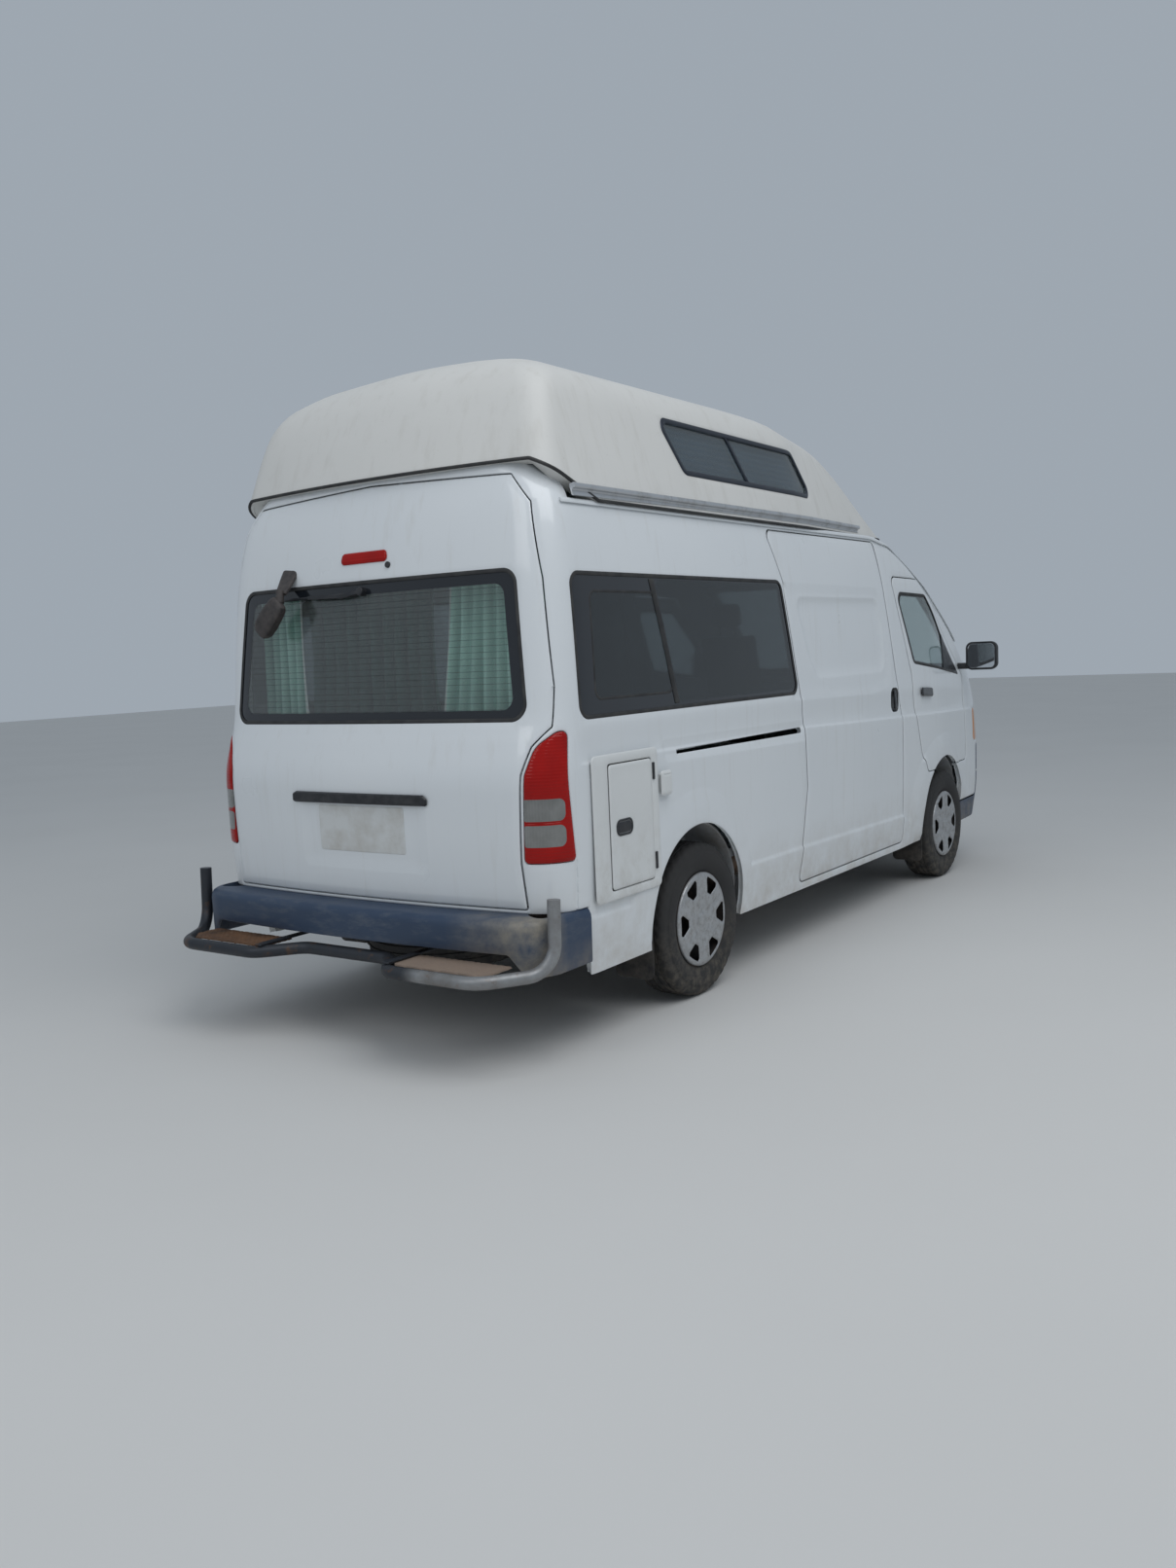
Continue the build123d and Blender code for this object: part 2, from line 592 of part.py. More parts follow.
# Rear bumper: open below, wrapped round both corners
rear_bumper = loft_rows(REAR_BUMPER_SECTIONS, 0, 0)
rear_bumper -= loft_rows(REAR_BUMPER_SECTIONS[:3], REAR_BUMPER_WALL, 0, CUT_REACH)
rear_bumper &= rear_bumper_zone
body_room_y = (REAR_BUMPER_Y - 1, REAR_BUMPER_SHELF_Y)
rear_bumper -= block(REAR_BUMPER_TAIL_X, body_room_y, (GROUND_Z, REAR_BUMPER_TOP + 1))
rear_bumper -= block(REAR_BUMPER_TAIL_X, (REAR_BUMPER_INNER_Y, TAIL_Y), (GROUND_Z, REAR_BUMPER_EDGE))
save("rear_bumper", rear_bumper)

# Sliding doors: they seat under the drip rail and leave a gap at their other edges
door_zone = sliding_zone + side_zone(polygon(SLIDING_HEAD))
sliding_door = skin(door_zone, 0, WALL)
sliding_door = raised(sliding_door, sill_zone, SILL_PROUD, sliding_zone)
sliding_door = sunk(sliding_door, side_zone(polygon(DOOR_FIELD, DOOR_FIELD_CORNER)), FIELD_DEPTH)
sliding_door = sunk(sliding_door, side_zone(polygon(BLANK_WINDOW, BLANK_WINDOW_CORNER)), BLANK_DEPTH)
handle_zone = side_zone(polygon(SLIDING_HANDLE, SLIDING_HANDLE_CORNER))
sliding_door = sunk(sliding_door, handle_zone, HANDLE_RECESS) - slot_zone
sliding_door += (hull(0) & side_zone(polygon(SLIDING_BAR))) - hull(HANDLE_RECESS + CUT_REACH)
save("sliding_doors", both(sliding_door))

# Front doors, with their glass
front_door = skin(front_door_zone, 0, WALL)
front_door = raised(front_door, flare_zones[0], FLARE_PROUD, front_door_zone) - window_zone - arch_cuts[0]
front_door += (hull(-HANDLE_PROUD) & side_zone(polygon(DOOR_HANDLE, DOOR_HANDLE_CORNER))) - hull(WALL / 2)
door_glass = skin(window_zone, GLASS_SET, GLASS_SET + GLASS)
for side, shapes in zip(SIDES, zip(both(front_door), both(door_glass))):
    save(f"front_door_{side}", shapes[0])
    save(f"door_glass_{side}", shapes[1])

# Hatch
plate_field = along_y(polygon(PLATE_FIELD, PLATE_FIELD_CORNER), *HATCH_ZONE_Y)
save("hatch_panel", sunk(skin(hatch_zone, 0, WALL), plate_field, FIELD_DEPTH) - hatch_window_zone)
save("hatch_glass", skin(hatch_window_zone, GLASS_SET, GLASS_SET + GLASS))

# Bonnet lid
save("bonnet_lid", skin(bonnet_zone, 0, WALL))

# Moulded roof: its lower edge rests on the steel rim, and its tail is cut to clear the steel header
roof_zone = side_zone(polygon(ROOF_WINDOW, ROOF_WINDOW_CORNER))
roof_inner = side_zone(polygon(ROOF_WINDOW, ROOF_WINDOW_CORNER - ROOF_WINDOW_FRAME, grow=-ROOF_WINDOW_FRAME))
hi_top = roof_hull(0) - roof_hull(HI_TOP_WALL).moved(Location((0, 0, -HI_TOP_DROP)))
for cut in both(roof_zone) + [along_y(polygon(HEADER_CUT), REAR_HEADER_Y, HATCH_ZONE_Y[1])]:
    hi_top -= cut
save("hi_top", hi_top)
frame = (roof_hull(-ROOF_FRAME_PROUD) & (roof_zone - roof_inner)) - roof_hull(HI_TOP_WALL)
save("roof_window_frames", both(frame))
save("roof_windows", both((roof_hull(GLASS_SET) & roof_inner) - roof_hull(GLASS_SET + GLASS)))

# Roof rails: a drip rail along each side and down the windscreen pillar, and an awning rail on the right
drip_rail = (hull(-DRIP_PROUD) & side_zone(polygon(DRIP_LINE))) - hull(0)
save("drip_rails", both(drip_rail))
save("awning_rail", (roof_hull(-AWNING_PROUD) & block(AWNING_X, AWNING_Y, AWNING_Z)) - roof_hull(0))

# Service locker: a moulded frame with a box behind it, a door, and the power inlet beside it
locker_box = block((LOCKER_FRAME_X[1], LOCKER_BOX_X), sleeve_y, sleeve_z)
locker = block(LOCKER_FRAME_X, LOCKER_FRAME_Y, LOCKER_FRAME_Z) + locker_box
locker -= block((LOCKER_HOLE_X[0], LOCKER_BOX_X - LOCKER_SLEEVE), LOCKER_DOOR_Y, LOCKER_DOOR_Z)
inlet = fillet(block(INLET_X, INLET_Y, INLET_Z).edges().filter_by(Axis.X), LOCKER_CORNER)
save("locker_frame", [locker, inlet])
locker_door = block(LOCKER_DOOR_X, grown(LOCKER_DOOR_Y, -LOCKER_GAP), grown(LOCKER_DOOR_Z, -LOCKER_GAP))
save("locker_door", fillet(locker_door.edges().filter_by(Axis.X), LOCKER_CORNER))

# Hatch fittings: pull bar, blank plate, stop lamp and wiper stand on the hatch; the wiper lies over the glass
fittings = []
for outline, proud, seat in ((PULL_BAR, PULL_BAR_PROUD, 0), (BLANK_PLATE, BLANK_PLATE_PROUD, FIELD_DEPTH),
                             (STOP_LAMP, STOP_LAMP_PROUD, 0)):
    zone = along_y(polygon(outline, FITTING_CORNER), *HATCH_ZONE_Y)
    fittings.append((hull(-proud) & zone) - hull(seat))
pivot_zone = along_y(Pos(*REAR_WIPER[0]) * Circle(WIPER_PIVOT_RADIUS), *HATCH_ZONE_Y)
arm_zone = along_y(polygon(strip(*REAR_WIPER, WIPER_ARM_WIDTH)), *HATCH_ZONE_Y)
arm_low, arm_high = REAR_WIPER_HEIGHTS
rear_wiper = (hull(-arm_high) & pivot_zone) - hull(GLASS_SET)
rear_wiper += (hull(-arm_high) & arm_zone) - hull(-arm_low)
save("hatch_fittings", fittings + [rear_wiper])

# Step bar: one bent tube on two flat brackets under the chassis rails, with a tread plate in each bulge
half_line = FilletPolyline(*STEP_LINE, (0, STEP_LINE[-1][1], STEP_LINE[-1][2]), radius=STEP_RADII)
half_tube = sweep(Plane(half_line @ 0, z_dir=half_line % 0) * Circle(STEP_TUBE), path=half_line)
step_bar = half_tube + mirror(half_tube, Plane.YZ)
tube_top = STEP_LINE[-1][2] + STEP_TUBE
bracket_top = tube_top + STEP_BRACKET_THICK
for bracket in both(block(STEP_BRACKET_X, STEP_BRACKET_Y, (tube_top - 1, bracket_top))):
    step_bar += bracket
for spacer in both(block(STEP_BRACKET_X, STEP_SPACER_Y, (bracket_top, RAIL_Z[0]))):
    step_bar += spacer
save("step_bar", step_bar)
plate = block(STEP_PLATE[:2], STEP_PLATE[2:], STEP_PLATE_Z) - step_bar
save("step_plates", both(max(plate.solids(), key=lambda solid: solid.volume)))

# Floor, open under the seat platform and the wheel boxes that stand on it
floor = hull(WALL) & block(SPAN_X, FLOOR_Y, FLOOR_Z)
floor -= block(SPAN_X, grown(PLATFORM_Y, -PLATFORM_WALL), FLOOR_Z)
wheel_boxes = []
for arch in ARCHES:
    reach_y = (arch.y - ARCH_REACH, arch.y + ARCH_REACH)
    wider = arch._replace(inner_x=arch.inner_x - WHEEL_BOX_WALL)
    outer = arch_cut(wider, arch.radius + WHEEL_BOX_WALL)
    above = block((0, SIDE_X[1]), reach_y, (FLOOR_Z[0], WHEEL_BOX_TOP))
    sides = block((arch.inner_x, SIDE_X[1]), reach_y, (WHEEL_BOX_FOOT, WHEEL_BOX_TOP))
    wheel_boxes += both((hull(WALL) & outer & (above + sides)) - arch_cut(arch, arch.radius))
    for shape in both(outer):
        floor -= shape
save("floor_pan", floor - locker_box)
save("wheel_boxes", wheel_boxes)

# Seat platform over the engine, closed down to the floor and cut round the wheel boxes
platform = hull(WALL) & block(SPAN_X, PLATFORM_Y, PLATFORM_Z)
hollow_z = (PLATFORM_Z[0] - 1, PLATFORM_Z[1] - PLATFORM_WALL)
platform -= block(SPAN_X, grown(PLATFORM_Y, -PLATFORM_WALL), hollow_z)
for shape in wheel_boxes[:2] + both(arch_cut(ARCHES[0], ARCHES[0].radius)):
    platform -= shape
save("seat_platform", platform)

# Chassis rails with cross members and jacking pads
rails = block(RAIL_X, RAIL_Y, RAIL_Z) + block((-RAIL_X[1], -RAIL_X[0]), RAIL_Y, RAIL_Z)
for limits in CROSS_Y:
    rails += block((-RAIL_X[0], RAIL_X[0]), limits, CROSS_Z)
for pad_x, pad_y in JACK_PADS:
    for pad in both(Location((pad_x, pad_y, RAIL_Z[0] - JACK_PAD[2] / 2)) * Box(*JACK_PAD)):
        rails += pad
save("chassis_rails", rails)

# Engine, gearbox and propeller shaft, fuel tank, exhaust
engine = block(*ENGINE_BLOCK)
for part in (ENGINE_SUMP, ENGINE_COVER):
    engine += fillet(block(*part).edges().filter_by(Axis.Z), ENGINE_CORNER)
save("engine", engine)
gearbox_start = Plane((0, ENGINE_BLOCK[1][1], SHAFT_LINE[0][2]), z_dir=(0, 1, 0))
gearbox = extrude(gearbox_start * Circle(GEARBOX_RADIUS), amount=GEARBOX_LENGTH, taper=GEARBOX_TAPER)
save("drive_shaft", gearbox + rod(*SHAFT_LINE, SHAFT_RADIUS))
save("fuel_tank", fillet(block(*TANK).edges().filter_by(Axis.Y), TANK_CORNER))
pipe_line = FilletPolyline(*EXHAUST_LINE, radius=EXHAUST_BEND)
pipe = sweep(Plane(pipe_line @ 0, z_dir=pipe_line % 0) * Circle(EXHAUST_RADIUS), path=pipe_line)
save("exhaust", pipe + rod(*MUFFLER_LINE, MUFFLER_RADIUS))

# Rear axle: beam, differential, drums, spindles and leaf springs on hangers
beam_half = [
    (SPINDLE_END, 0), (SPINDLE_END, SPINDLE_RADIUS), (DRUM_X[1], SPINDLE_RADIUS), (DRUM_X[1], DRUM_RADIUS),
    (DRUM_X[0], DRUM_RADIUS), (DRUM_X[0], AXLE_TUBE), (DIFF_X[1], AXLE_TUBE), (DIFF_X[0], DIFF_RADIUS),
]
beam = ring(beam_half + [(-x, radius) for x, radius in beam_half[::-1]])
axle = Location((0, REAR_AXLE_Y, AXLE_Z)) * beam
leaf_seat = (REAR_AXLE_Y, AXLE_Z + AXLE_TUBE - SPRING_SEAT)
for shape in both(along_x(arc_band(SPRING_EYES[0], leaf_seat, SPRING_EYES[1], SPRING_LEAF), *SPRING_X)):
    axle += shape
for eye_y, eye_z in SPRING_EYES:
    hanger_y = (eye_y - HANGER_HALF_LENGTH, eye_y + HANGER_HALF_LENGTH)
    hanger = block(grown(SPRING_X, -HANGER_MARGIN), hanger_y, (eye_z - HANGER_LAP, FLOOR_Z[0]))
    for shape in both(hanger):
        axle += shape
save("rear_axle", axle)

# Front suspension: a cross member under the engine, brackets on the rails, and two arms a side
suspension = block(*SUSPENSION_CROSS)
for bracket in both(block(*SUSPENSION_BRACKET)):
    suspension += bracket
arm_outer = [(KINGPIN_X, FRONT_AXLE_Y - ARM_HALF_WIDTH), (KINGPIN_X, FRONT_AXLE_Y + ARM_HALF_WIDTH)]
arm_outline = polygon([ARM_INNER[0], *arm_outer, ARM_INNER[1]])
arm_eye = Pos(KINGPIN_X, FRONT_AXLE_Y) * Circle(ARM_HALF_WIDTH)
pin_hole = Pos(KINGPIN_X, FRONT_AXLE_Y) * Circle(PIN_RADIUS + PIN_CLEARANCE)
for limits in ARM_Z.values():
    arm = along_z(arm_outline, *limits) + along_z(arm_eye, *limits)
    for shape in both(arm - along_z(pin_hole, limits[0] - 1, limits[1] + 1)):
        suspension += shape
save("front_suspension", suspension)

# Knuckles: an upright on two pins, with the spindle on its outer side
post_z = (ARM_Z["lower"][1] + POST_CLEARANCE, ARM_Z["upper"][0] - POST_CLEARANCE)
knuckle = along_z(Pos(KINGPIN_X, FRONT_AXLE_Y) * Circle(KINGPIN_RADIUS), *post_z)
knuckle += along_z(Pos(KINGPIN_X, FRONT_AXLE_Y) * Circle(PIN_RADIUS), ARM_Z["lower"][0], ARM_Z["upper"][1])
barrel_half, barrel_radius = KNUCKLE_BARREL
barrel_ends = [(KINGPIN_X + shift, FRONT_AXLE_Y, AXLE_Z) for shift in (-barrel_half, barrel_half)]
knuckle += rod(*barrel_ends, barrel_radius)
knuckle += rod((KINGPIN_X, FRONT_AXLE_Y, AXLE_Z), (SPINDLE_END, FRONT_AXLE_Y, AXLE_Z), SPINDLE_RADIUS)
for side, shape in zip(SIDES, both(knuckle)):
    save(f"knuckle_{side}", shape)

# Wheels, built at the origin with their outer face toward +X
tyre_side = [(BEAD_X, BEAD_RADIUS), (BEAD_X, FLANGE_RADIUS), *TYRE_SHOULDER]
tyre = ring(tyre_side + [(-x, radius) for x, radius in tyre_side[::-1]])

flange = [(BEAD_X, FLANGE_RADIUS), (FLANGE_X, FLANGE_RADIUS)]
rim_side = [(BEAD_X, BEAD_RADIUS), *flange, (FLANGE_X, BARREL_INNER_RADIUS)]
rim = ring(rim_side + [(-x, radius) for x, radius in rim_side[::-1]])
rim += washer(DISC_A[0], DISC_A[1], SPINDLE_RADIUS, BEAD_RADIUS - DISC_CLEARANCE)
rim += washer(SLEEVE_A[0], SLEEVE_A[1] + SLEEVE_CAP, 0, SLEEVE_RADIUS)
rim -= rod((SLEEVE_A[0] - 1, 0, 0), (SLEEVE_A[1] + 1, 0, 0), SPINDLE_RADIUS + SPINDLE_CLEARANCE)
trim = ring(TRIM_OUTLINE)
opening = polygon(TRIM_OPENING)
for turn in range(TRIM_OPENINGS):
    trim -= Rot((turn + 0.5) * 360 / TRIM_OPENINGS, 0, 0) * along_x(opening, *TRIM_CUT_X)
rim += trim
for end, axle_y in (("front", FRONT_AXLE_Y), ("rear", REAR_AXLE_Y)):
    at = Location((TRACK_HALF, axle_y, AXLE_Z))
    for piece, shape in (("tyre", tyre), ("rim", rim)):
        for side, placed in zip(SIDES, both(at * shape)):
            save(f"{piece}_{end}_{side}", placed)

# Spare wheel, laid flat under the tail and hung from the chassis rails
spare_x, spare_y, spare_z = SPARE_CENTRE
spare_rim = Location(SPARE_CENTRE) * Cylinder(BEAD_RADIUS, 2 * BEAD_X)
spare_rim += rod((spare_x, spare_y, spare_z), (spare_x, spare_y, RAIL_Z[0]), SPARE_POST_RADIUS)
bar_y = (spare_y - SPARE_BAR_HALF_WIDTH, spare_y + SPARE_BAR_HALF_WIDTH)
spare_rim += block((-RAIL_X[1], RAIL_X[1]), bar_y, (RAIL_Z[0] - SPARE_BAR_THICK, RAIL_Z[0]))
save("spare_tyre", Location(SPARE_CENTRE, (0, 90, 0)) * tyre)
save("spare_rim", spare_rim)

# Mud flaps hang behind each wheel, their tops against the inside of the arch
flaps = []
for arch in ARCHES:
    edge_y = arch.y + arch.radius
    flap_y = [edge_y - inset for inset in FLAP_INSET]
    flap = block(FLAP_X, flap_y, (FLAP_FOOT_Z, arch.z + FLAP_RISE))
    within = along_x(Pos(arch.y, arch.z) * Circle(arch.radius), *FLAP_CUT_X)
    flaps += both(flap & (within + block(FLAP_CUT_X, (arch.y, edge_y), (GROUND_Z, arch.z))))
save("mud_flaps", flaps)

# Door mirrors: a housing on an arm at the front corner of the door window
mirror_head = block(*MIRROR_HEAD)
mirror_head = fillet(mirror_head.edges().filter_by(Axis.Y), MIRROR_CORNER)
mirror_arm = block(MIRROR_ARM_X, MIRROR_ARM_Y, MIRROR_ARM_Z) - hull(0)
door_mirror = mirror_head + max(mirror_arm.solids(), key=lambda solid: solid.center().X)
for side, shape in zip(SIDES, both(door_mirror)):
    save(f"mirror_{side}", shape)

# Mirror on the hatch that shows the ground behind
arm = rod(*HATCH_MIRROR, HATCH_MIRROR_ARM) - hull(0)
head = fillet(Box(*HATCH_MIRROR_HEAD).edges().filter_by(Axis.Y), HATCH_MIRROR_CORNER)
head = Location(HATCH_MIRROR[1], (0, HATCH_MIRROR_TURN, 0)) * head
save("hatch_mirror", max(arm.solids(), key=lambda solid: solid.center().Y) + head)

# Windscreen wipers: a pivot on the cowl, and an arm with its blade just off the glass
wipers = []
arm_low, arm_high = FRONT_WIPER_HEIGHTS
for pivot, tip in WIPERS:
    pivot_zone = along_y(Pos(*pivot) * Circle(WIPER_PIVOT_RADIUS), *WIPER_Y)
    arm_zone = along_y(polygon(strip(pivot, tip, WIPER_ARM_WIDTH)), *WIPER_Y)
    wiper = (hull(-arm_high) & pivot_zone) - hull(0)
    wipers.append(wiper + ((hull(-arm_high) & arm_zone) - hull(-arm_low)))
save("front_wipers", wipers)

# Front seats: base, cushion, back and headrest
seats = along_x(polygon(SEAT_BASE), *grown(SEAT_X, -BASE_MARGIN))
seats += along_x(polygon(SEAT_CUSHION, SEAT_CORNER), *SEAT_X)
seats += along_x(polygon(SEAT_BACK, SEAT_CORNER), *grown(SEAT_X, -BACK_MARGIN))
seats += along_x(polygon(HEADREST, HEADREST_CORNER), *grown(SEAT_X, -HEADREST_MARGIN))
for shift in (-HEADREST_POST_OFFSET, HEADREST_POST_OFFSET):
    post_x = sum(SEAT_X) / 2 + shift
    seats += rod((post_x, *HEADREST_POSTS[0]), (post_x, *HEADREST_POSTS[1]), HEADREST_POST_RADIUS)
save("front_seats", both(seats))

# Dashboard with the steering column's shroud, and the steering wheel on its shaft
tilt = math.radians(STEERING_TILT)
column = Vector(0, math.sin(tilt), math.cos(tilt))
hub = Vector(*STEERING_CENTRE)
dash = along_x(polygon(DASH, DASH_CORNER), -DASH_X, DASH_X) & hull(WALL + DASH_GAP)
dash += rod(hub - column * SHROUD_REACH[0], hub - column * SHROUD_REACH[1], SHROUD_RADIUS)
dash -= rod(hub - column * SHROUD_BORE[0], hub - column * SHROUD_BORE[1], COLUMN_RADIUS + COLUMN_CLEARANCE)
save("dashboard", dash)
wheel_plane = Plane(hub, x_dir=(1, 0, 0), z_dir=column)
rim_section = Pos(STEERING_RADIUS, 0) * RegularPolygon(STEERING_RIM, 8)
steering = wheel_plane.location * revolve(Plane.XZ * rim_section, axis=Axis.Z)
steering += rod(hub - column * HUB_REACH[0], hub + column * HUB_REACH[1], HUB_RADIUS)
for angle in SPOKE_ANGLES:
    out = math.radians(angle)
    spoke = wheel_plane.x_dir * math.cos(out) + wheel_plane.y_dir * math.sin(out)
    steering += rod(hub, hub + spoke * STEERING_RADIUS, SPOKE_RADIUS)
steering += rod(hub - column * COLUMN_LENGTH, hub, COLUMN_RADIUS)
save("steering_wheel", steering)

# Curtains behind the hatch glass, on a rail between the pillars
curtains = [block(limits, CURTAIN_Y, CURTAIN_Z) for limits in CURTAIN_X]
rail_z = CURTAIN_Z[1] + CURTAIN_RAIL
rail_ends = [(x, sum(CURTAIN_Y) / 2, rail_z) for x in (-CURTAIN_RAIL_HALF, CURTAIN_RAIL_HALF)]
rail = rod(*rail_ends, CURTAIN_RAIL) & hull(WALL)
save("rear_curtains", curtains + [rail])
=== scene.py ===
import bpy
import math
import numpy as np
from mathutils import Matrix, geometry


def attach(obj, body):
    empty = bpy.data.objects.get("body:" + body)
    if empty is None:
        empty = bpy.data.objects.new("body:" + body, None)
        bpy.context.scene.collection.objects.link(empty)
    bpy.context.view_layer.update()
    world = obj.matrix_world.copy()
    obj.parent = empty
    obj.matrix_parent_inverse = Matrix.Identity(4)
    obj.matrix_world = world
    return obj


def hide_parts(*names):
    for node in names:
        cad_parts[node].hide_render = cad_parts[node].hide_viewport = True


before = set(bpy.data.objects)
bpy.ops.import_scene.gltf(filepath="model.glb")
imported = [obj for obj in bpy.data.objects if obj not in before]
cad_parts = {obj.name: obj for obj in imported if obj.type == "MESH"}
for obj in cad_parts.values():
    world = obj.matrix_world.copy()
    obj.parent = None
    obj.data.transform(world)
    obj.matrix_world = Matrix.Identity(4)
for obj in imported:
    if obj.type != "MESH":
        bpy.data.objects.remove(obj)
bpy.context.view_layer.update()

# Camera, floor and light: the camera stands at the right-hand rear corner at eye height, as the photograph's
# did. The floor is plain and pale. The light is a soft overcast sky with one broad lamp high behind the tail.
camera_data = bpy.data.cameras.new("camera")
camera_data.lens = 29.08
camera = bpy.data.objects.new("camera", camera_data)
bpy.context.scene.collection.objects.link(camera)
camera.matrix_world = Matrix((
    (-0.82034, 0.021603, -0.571468, -3.66),
    (-0.5701, -0.109593, 0.814233, 6.082),
    (-0.045039, 0.993742, 0.10222, 1.513),
    (0, 0, 0, 1),
))
bpy.context.scene.camera = camera
bpy.context.scene.view_settings.view_transform = "Standard"


def lamp(name, place, aim, size, power, colour):
    """A square area lamp at place, turned to face aim."""
    data = bpy.data.lights.new(name, "AREA")
    data.size = size
    data.energy = power
    data.color = colour
    obj = bpy.data.objects.new(name, data)
    bpy.context.scene.collection.objects.link(obj)
    back = np.subtract(place, aim)
    back = back / np.linalg.norm(back)
    side = np.cross((0, 0, 1), back)
    side = side / np.linalg.norm(side)
    turn = Matrix(np.array([side, np.cross(back, side), back]).T)
    obj.matrix_world = Matrix.Translation(place) @ turn.to_4x4()


lamp("sky_lamp", (-4.5, 3.0, 7.5), (0, 0, 1.0), 6.0, 235, (0.98, 0.99, 1.0))
lamp("tail_lamp_light", (0.6, 9.0, 6.0), (0, 2.0, 1.2), 4.0, 80, (0.98, 0.99, 1.0))
world = bpy.data.worlds.new("studio")
bpy.context.scene.world = world
world.use_nodes = True
world.node_tree.nodes["Background"].inputs["Color"].default_value = (0.76, 0.86, 0.97, 1)
world.node_tree.nodes["Background"].inputs["Strength"].default_value = 0.45

floor_mesh = bpy.data.meshes.new("floor")
floor_mesh.from_pydata([(-40, -40, 0), (40, -40, 0), (40, 40, 0), (-40, 40, 0)], [], [(0, 1, 2, 3)])
floor = bpy.data.objects.new("floor", floor_mesh)
bpy.context.scene.collection.objects.link(floor)


# Materials: each is a shader tree on Object coordinates, so that its pattern keeps its real size in metres.
# Most are clouds between two tones, with films of dirt or rust laid over them. The floor's paper comes first.
class Shade:
    """Builds one material's nodes: call node() for a node, link() for a wire, and bsdf for the shader."""

    def __init__(self, name, roughness=0.5, metallic=0.0, **sockets):
        self.mat = bpy.data.materials.new(name)
        self.mat.use_nodes = True
        self.tree = self.mat.node_tree
        self.bsdf = self.tree.nodes["Principled BSDF"]
        self.bsdf.inputs["Roughness"].default_value = roughness
        self.bsdf.inputs["Metallic"].default_value = metallic
        for key, value in sockets.items():
            self.bsdf.inputs[key.replace("_", " ")].default_value = value
        self.place = self.node("ShaderNodeTexCoord").outputs["Object"]

    def node(self, kind, **values):
        """Adds a node; a value sets the socket or property of that name."""
        made = self.tree.nodes.new(kind)
        for key, value in values.items():
            if key.startswith("in_"):
                index = key[3:]
                made.inputs[int(index) if index.isdigit() else index.replace("_", " ")].default_value = value
            else:
                setattr(made, key, value)
        return made

    def link(self, start, end):
        """Wires an output to an input."""
        self.tree.links.new(start, end)

    def stretched(self, scale):
        """The object's coordinates times a scale on each axis."""
        mapping = self.node("ShaderNodeMapping", in_Scale=scale)
        self.link(self.place, mapping.inputs["Vector"])
        return mapping.outputs["Vector"]

    def noise(self, scale, detail=4.0, rough=0.5, at=None):
        """Cloud pattern from 0 to 1."""
        made = self.node("ShaderNodeTexNoise", in_Scale=scale, in_Detail=detail, in_Roughness=rough)
        self.link(at if at is not None else self.place, made.inputs["Vector"])
        return made.outputs["Fac"]

    def ramp(self, value, low, high):
        """The value rescaled so that low gives 0 and high gives 1, and cut off outside."""
        made = self.node("ShaderNodeMapRange", in_1=low, in_2=high)
        self.link(value, made.inputs[0])
        return made.outputs[0]

    def maths(self, operation, a, b):
        """One sum of two sockets or numbers."""
        made = self.node("ShaderNodeMath", operation=operation)
        for index, value in enumerate((a, b)):
            if isinstance(value, (int, float)):
                made.inputs[index].default_value = value
            else:
                self.link(value, made.inputs[index])
        return made.outputs[0]

    def mix(self, factor, a, b):
        """Colour a where factor is 0 and b where it is 1."""
        made = self.node("ShaderNodeMix", data_type="RGBA")
        if isinstance(factor, (int, float)):
            made.inputs[0].default_value = factor
        else:
            self.link(factor, made.inputs[0])
        for index, value in ((6, a), (7, b)):
            if isinstance(value, tuple):
                made.inputs[index].default_value = (*value, 1)
            else:
                self.link(value, made.inputs[index])
        return made.outputs[2]

    def colour(self, value):
        """The base colour."""
        self.link(value, self.bsdf.inputs["Base Color"])

    def rough(self, value, low, high):
        """Roughness between low and high as value goes from 0 to 1."""
        made = self.node("ShaderNodeMapRange", in_3=low, in_4=high)
        self.link(value, made.inputs[0])
        self.link(made.outputs[0], self.bsdf.inputs["Roughness"])

    def bump(self, value, height, strength=1.0):
        """Raises the surface by the value times the height in metres."""
        made = self.node("ShaderNodeBump", in_Strength=strength, in_Distance=height)
        self.link(value, made.inputs["Height"])
        self.link(made.outputs[0], self.bsdf.inputs["Normal"])

    def axis(self, name):
        """One coordinate in metres: X, Y or Z."""
        split = self.node("ShaderNodeSeparateXYZ")
        self.link(self.place, split.inputs[0])
        return split.outputs[name]

    def waves(self, scale, direction, distortion=0.0):
        """Ridges across one axis, from 0 to 1."""
        made = self.node("ShaderNodeTexWave", in_Scale=scale, in_Distortion=distortion,
                         bands_direction=direction)
        self.link(self.place, made.inputs["Vector"])
        return made.outputs["Fac"]

    def clouded(self, dark, light, scale, detail=4.0, rough=0.5, low=0.0, high=1.0):
        """Base colour from dark to light by clouds, which are rescaled from low to high where these are
        given."""
        clouds = self.noise(scale, detail, rough)
        if (low, high) != (0.0, 1.0):
            clouds = self.ramp(clouds, low, high)
        self.colour(self.mix(clouds, dark, light))
        return clouds

    def over(self, tone, mask, share, film):
        """The tone under a film of another colour, which covers share of it where the mask is 1."""
        return self.mix(self.maths("MULTIPLY", mask, share), tone, film)

    def settled(self, scale, rough, low, high, top, bottom):
        """Mask of dirt that clings low down: clouds from low to high, faded in from height top to bottom."""
        clouds = self.ramp(self.noise(scale, 6.0, rough), low, high)
        return self.maths("MULTIPLY", clouds, self.ramp(self.axis("Z"), top, bottom))


paper = Shade("floor_paper", roughness=0.9)
paper.clouded((0.66, 0.65, 0.63), (0.71, 0.7, 0.68), 0.6)
floor.data.materials.append(paper.mat)


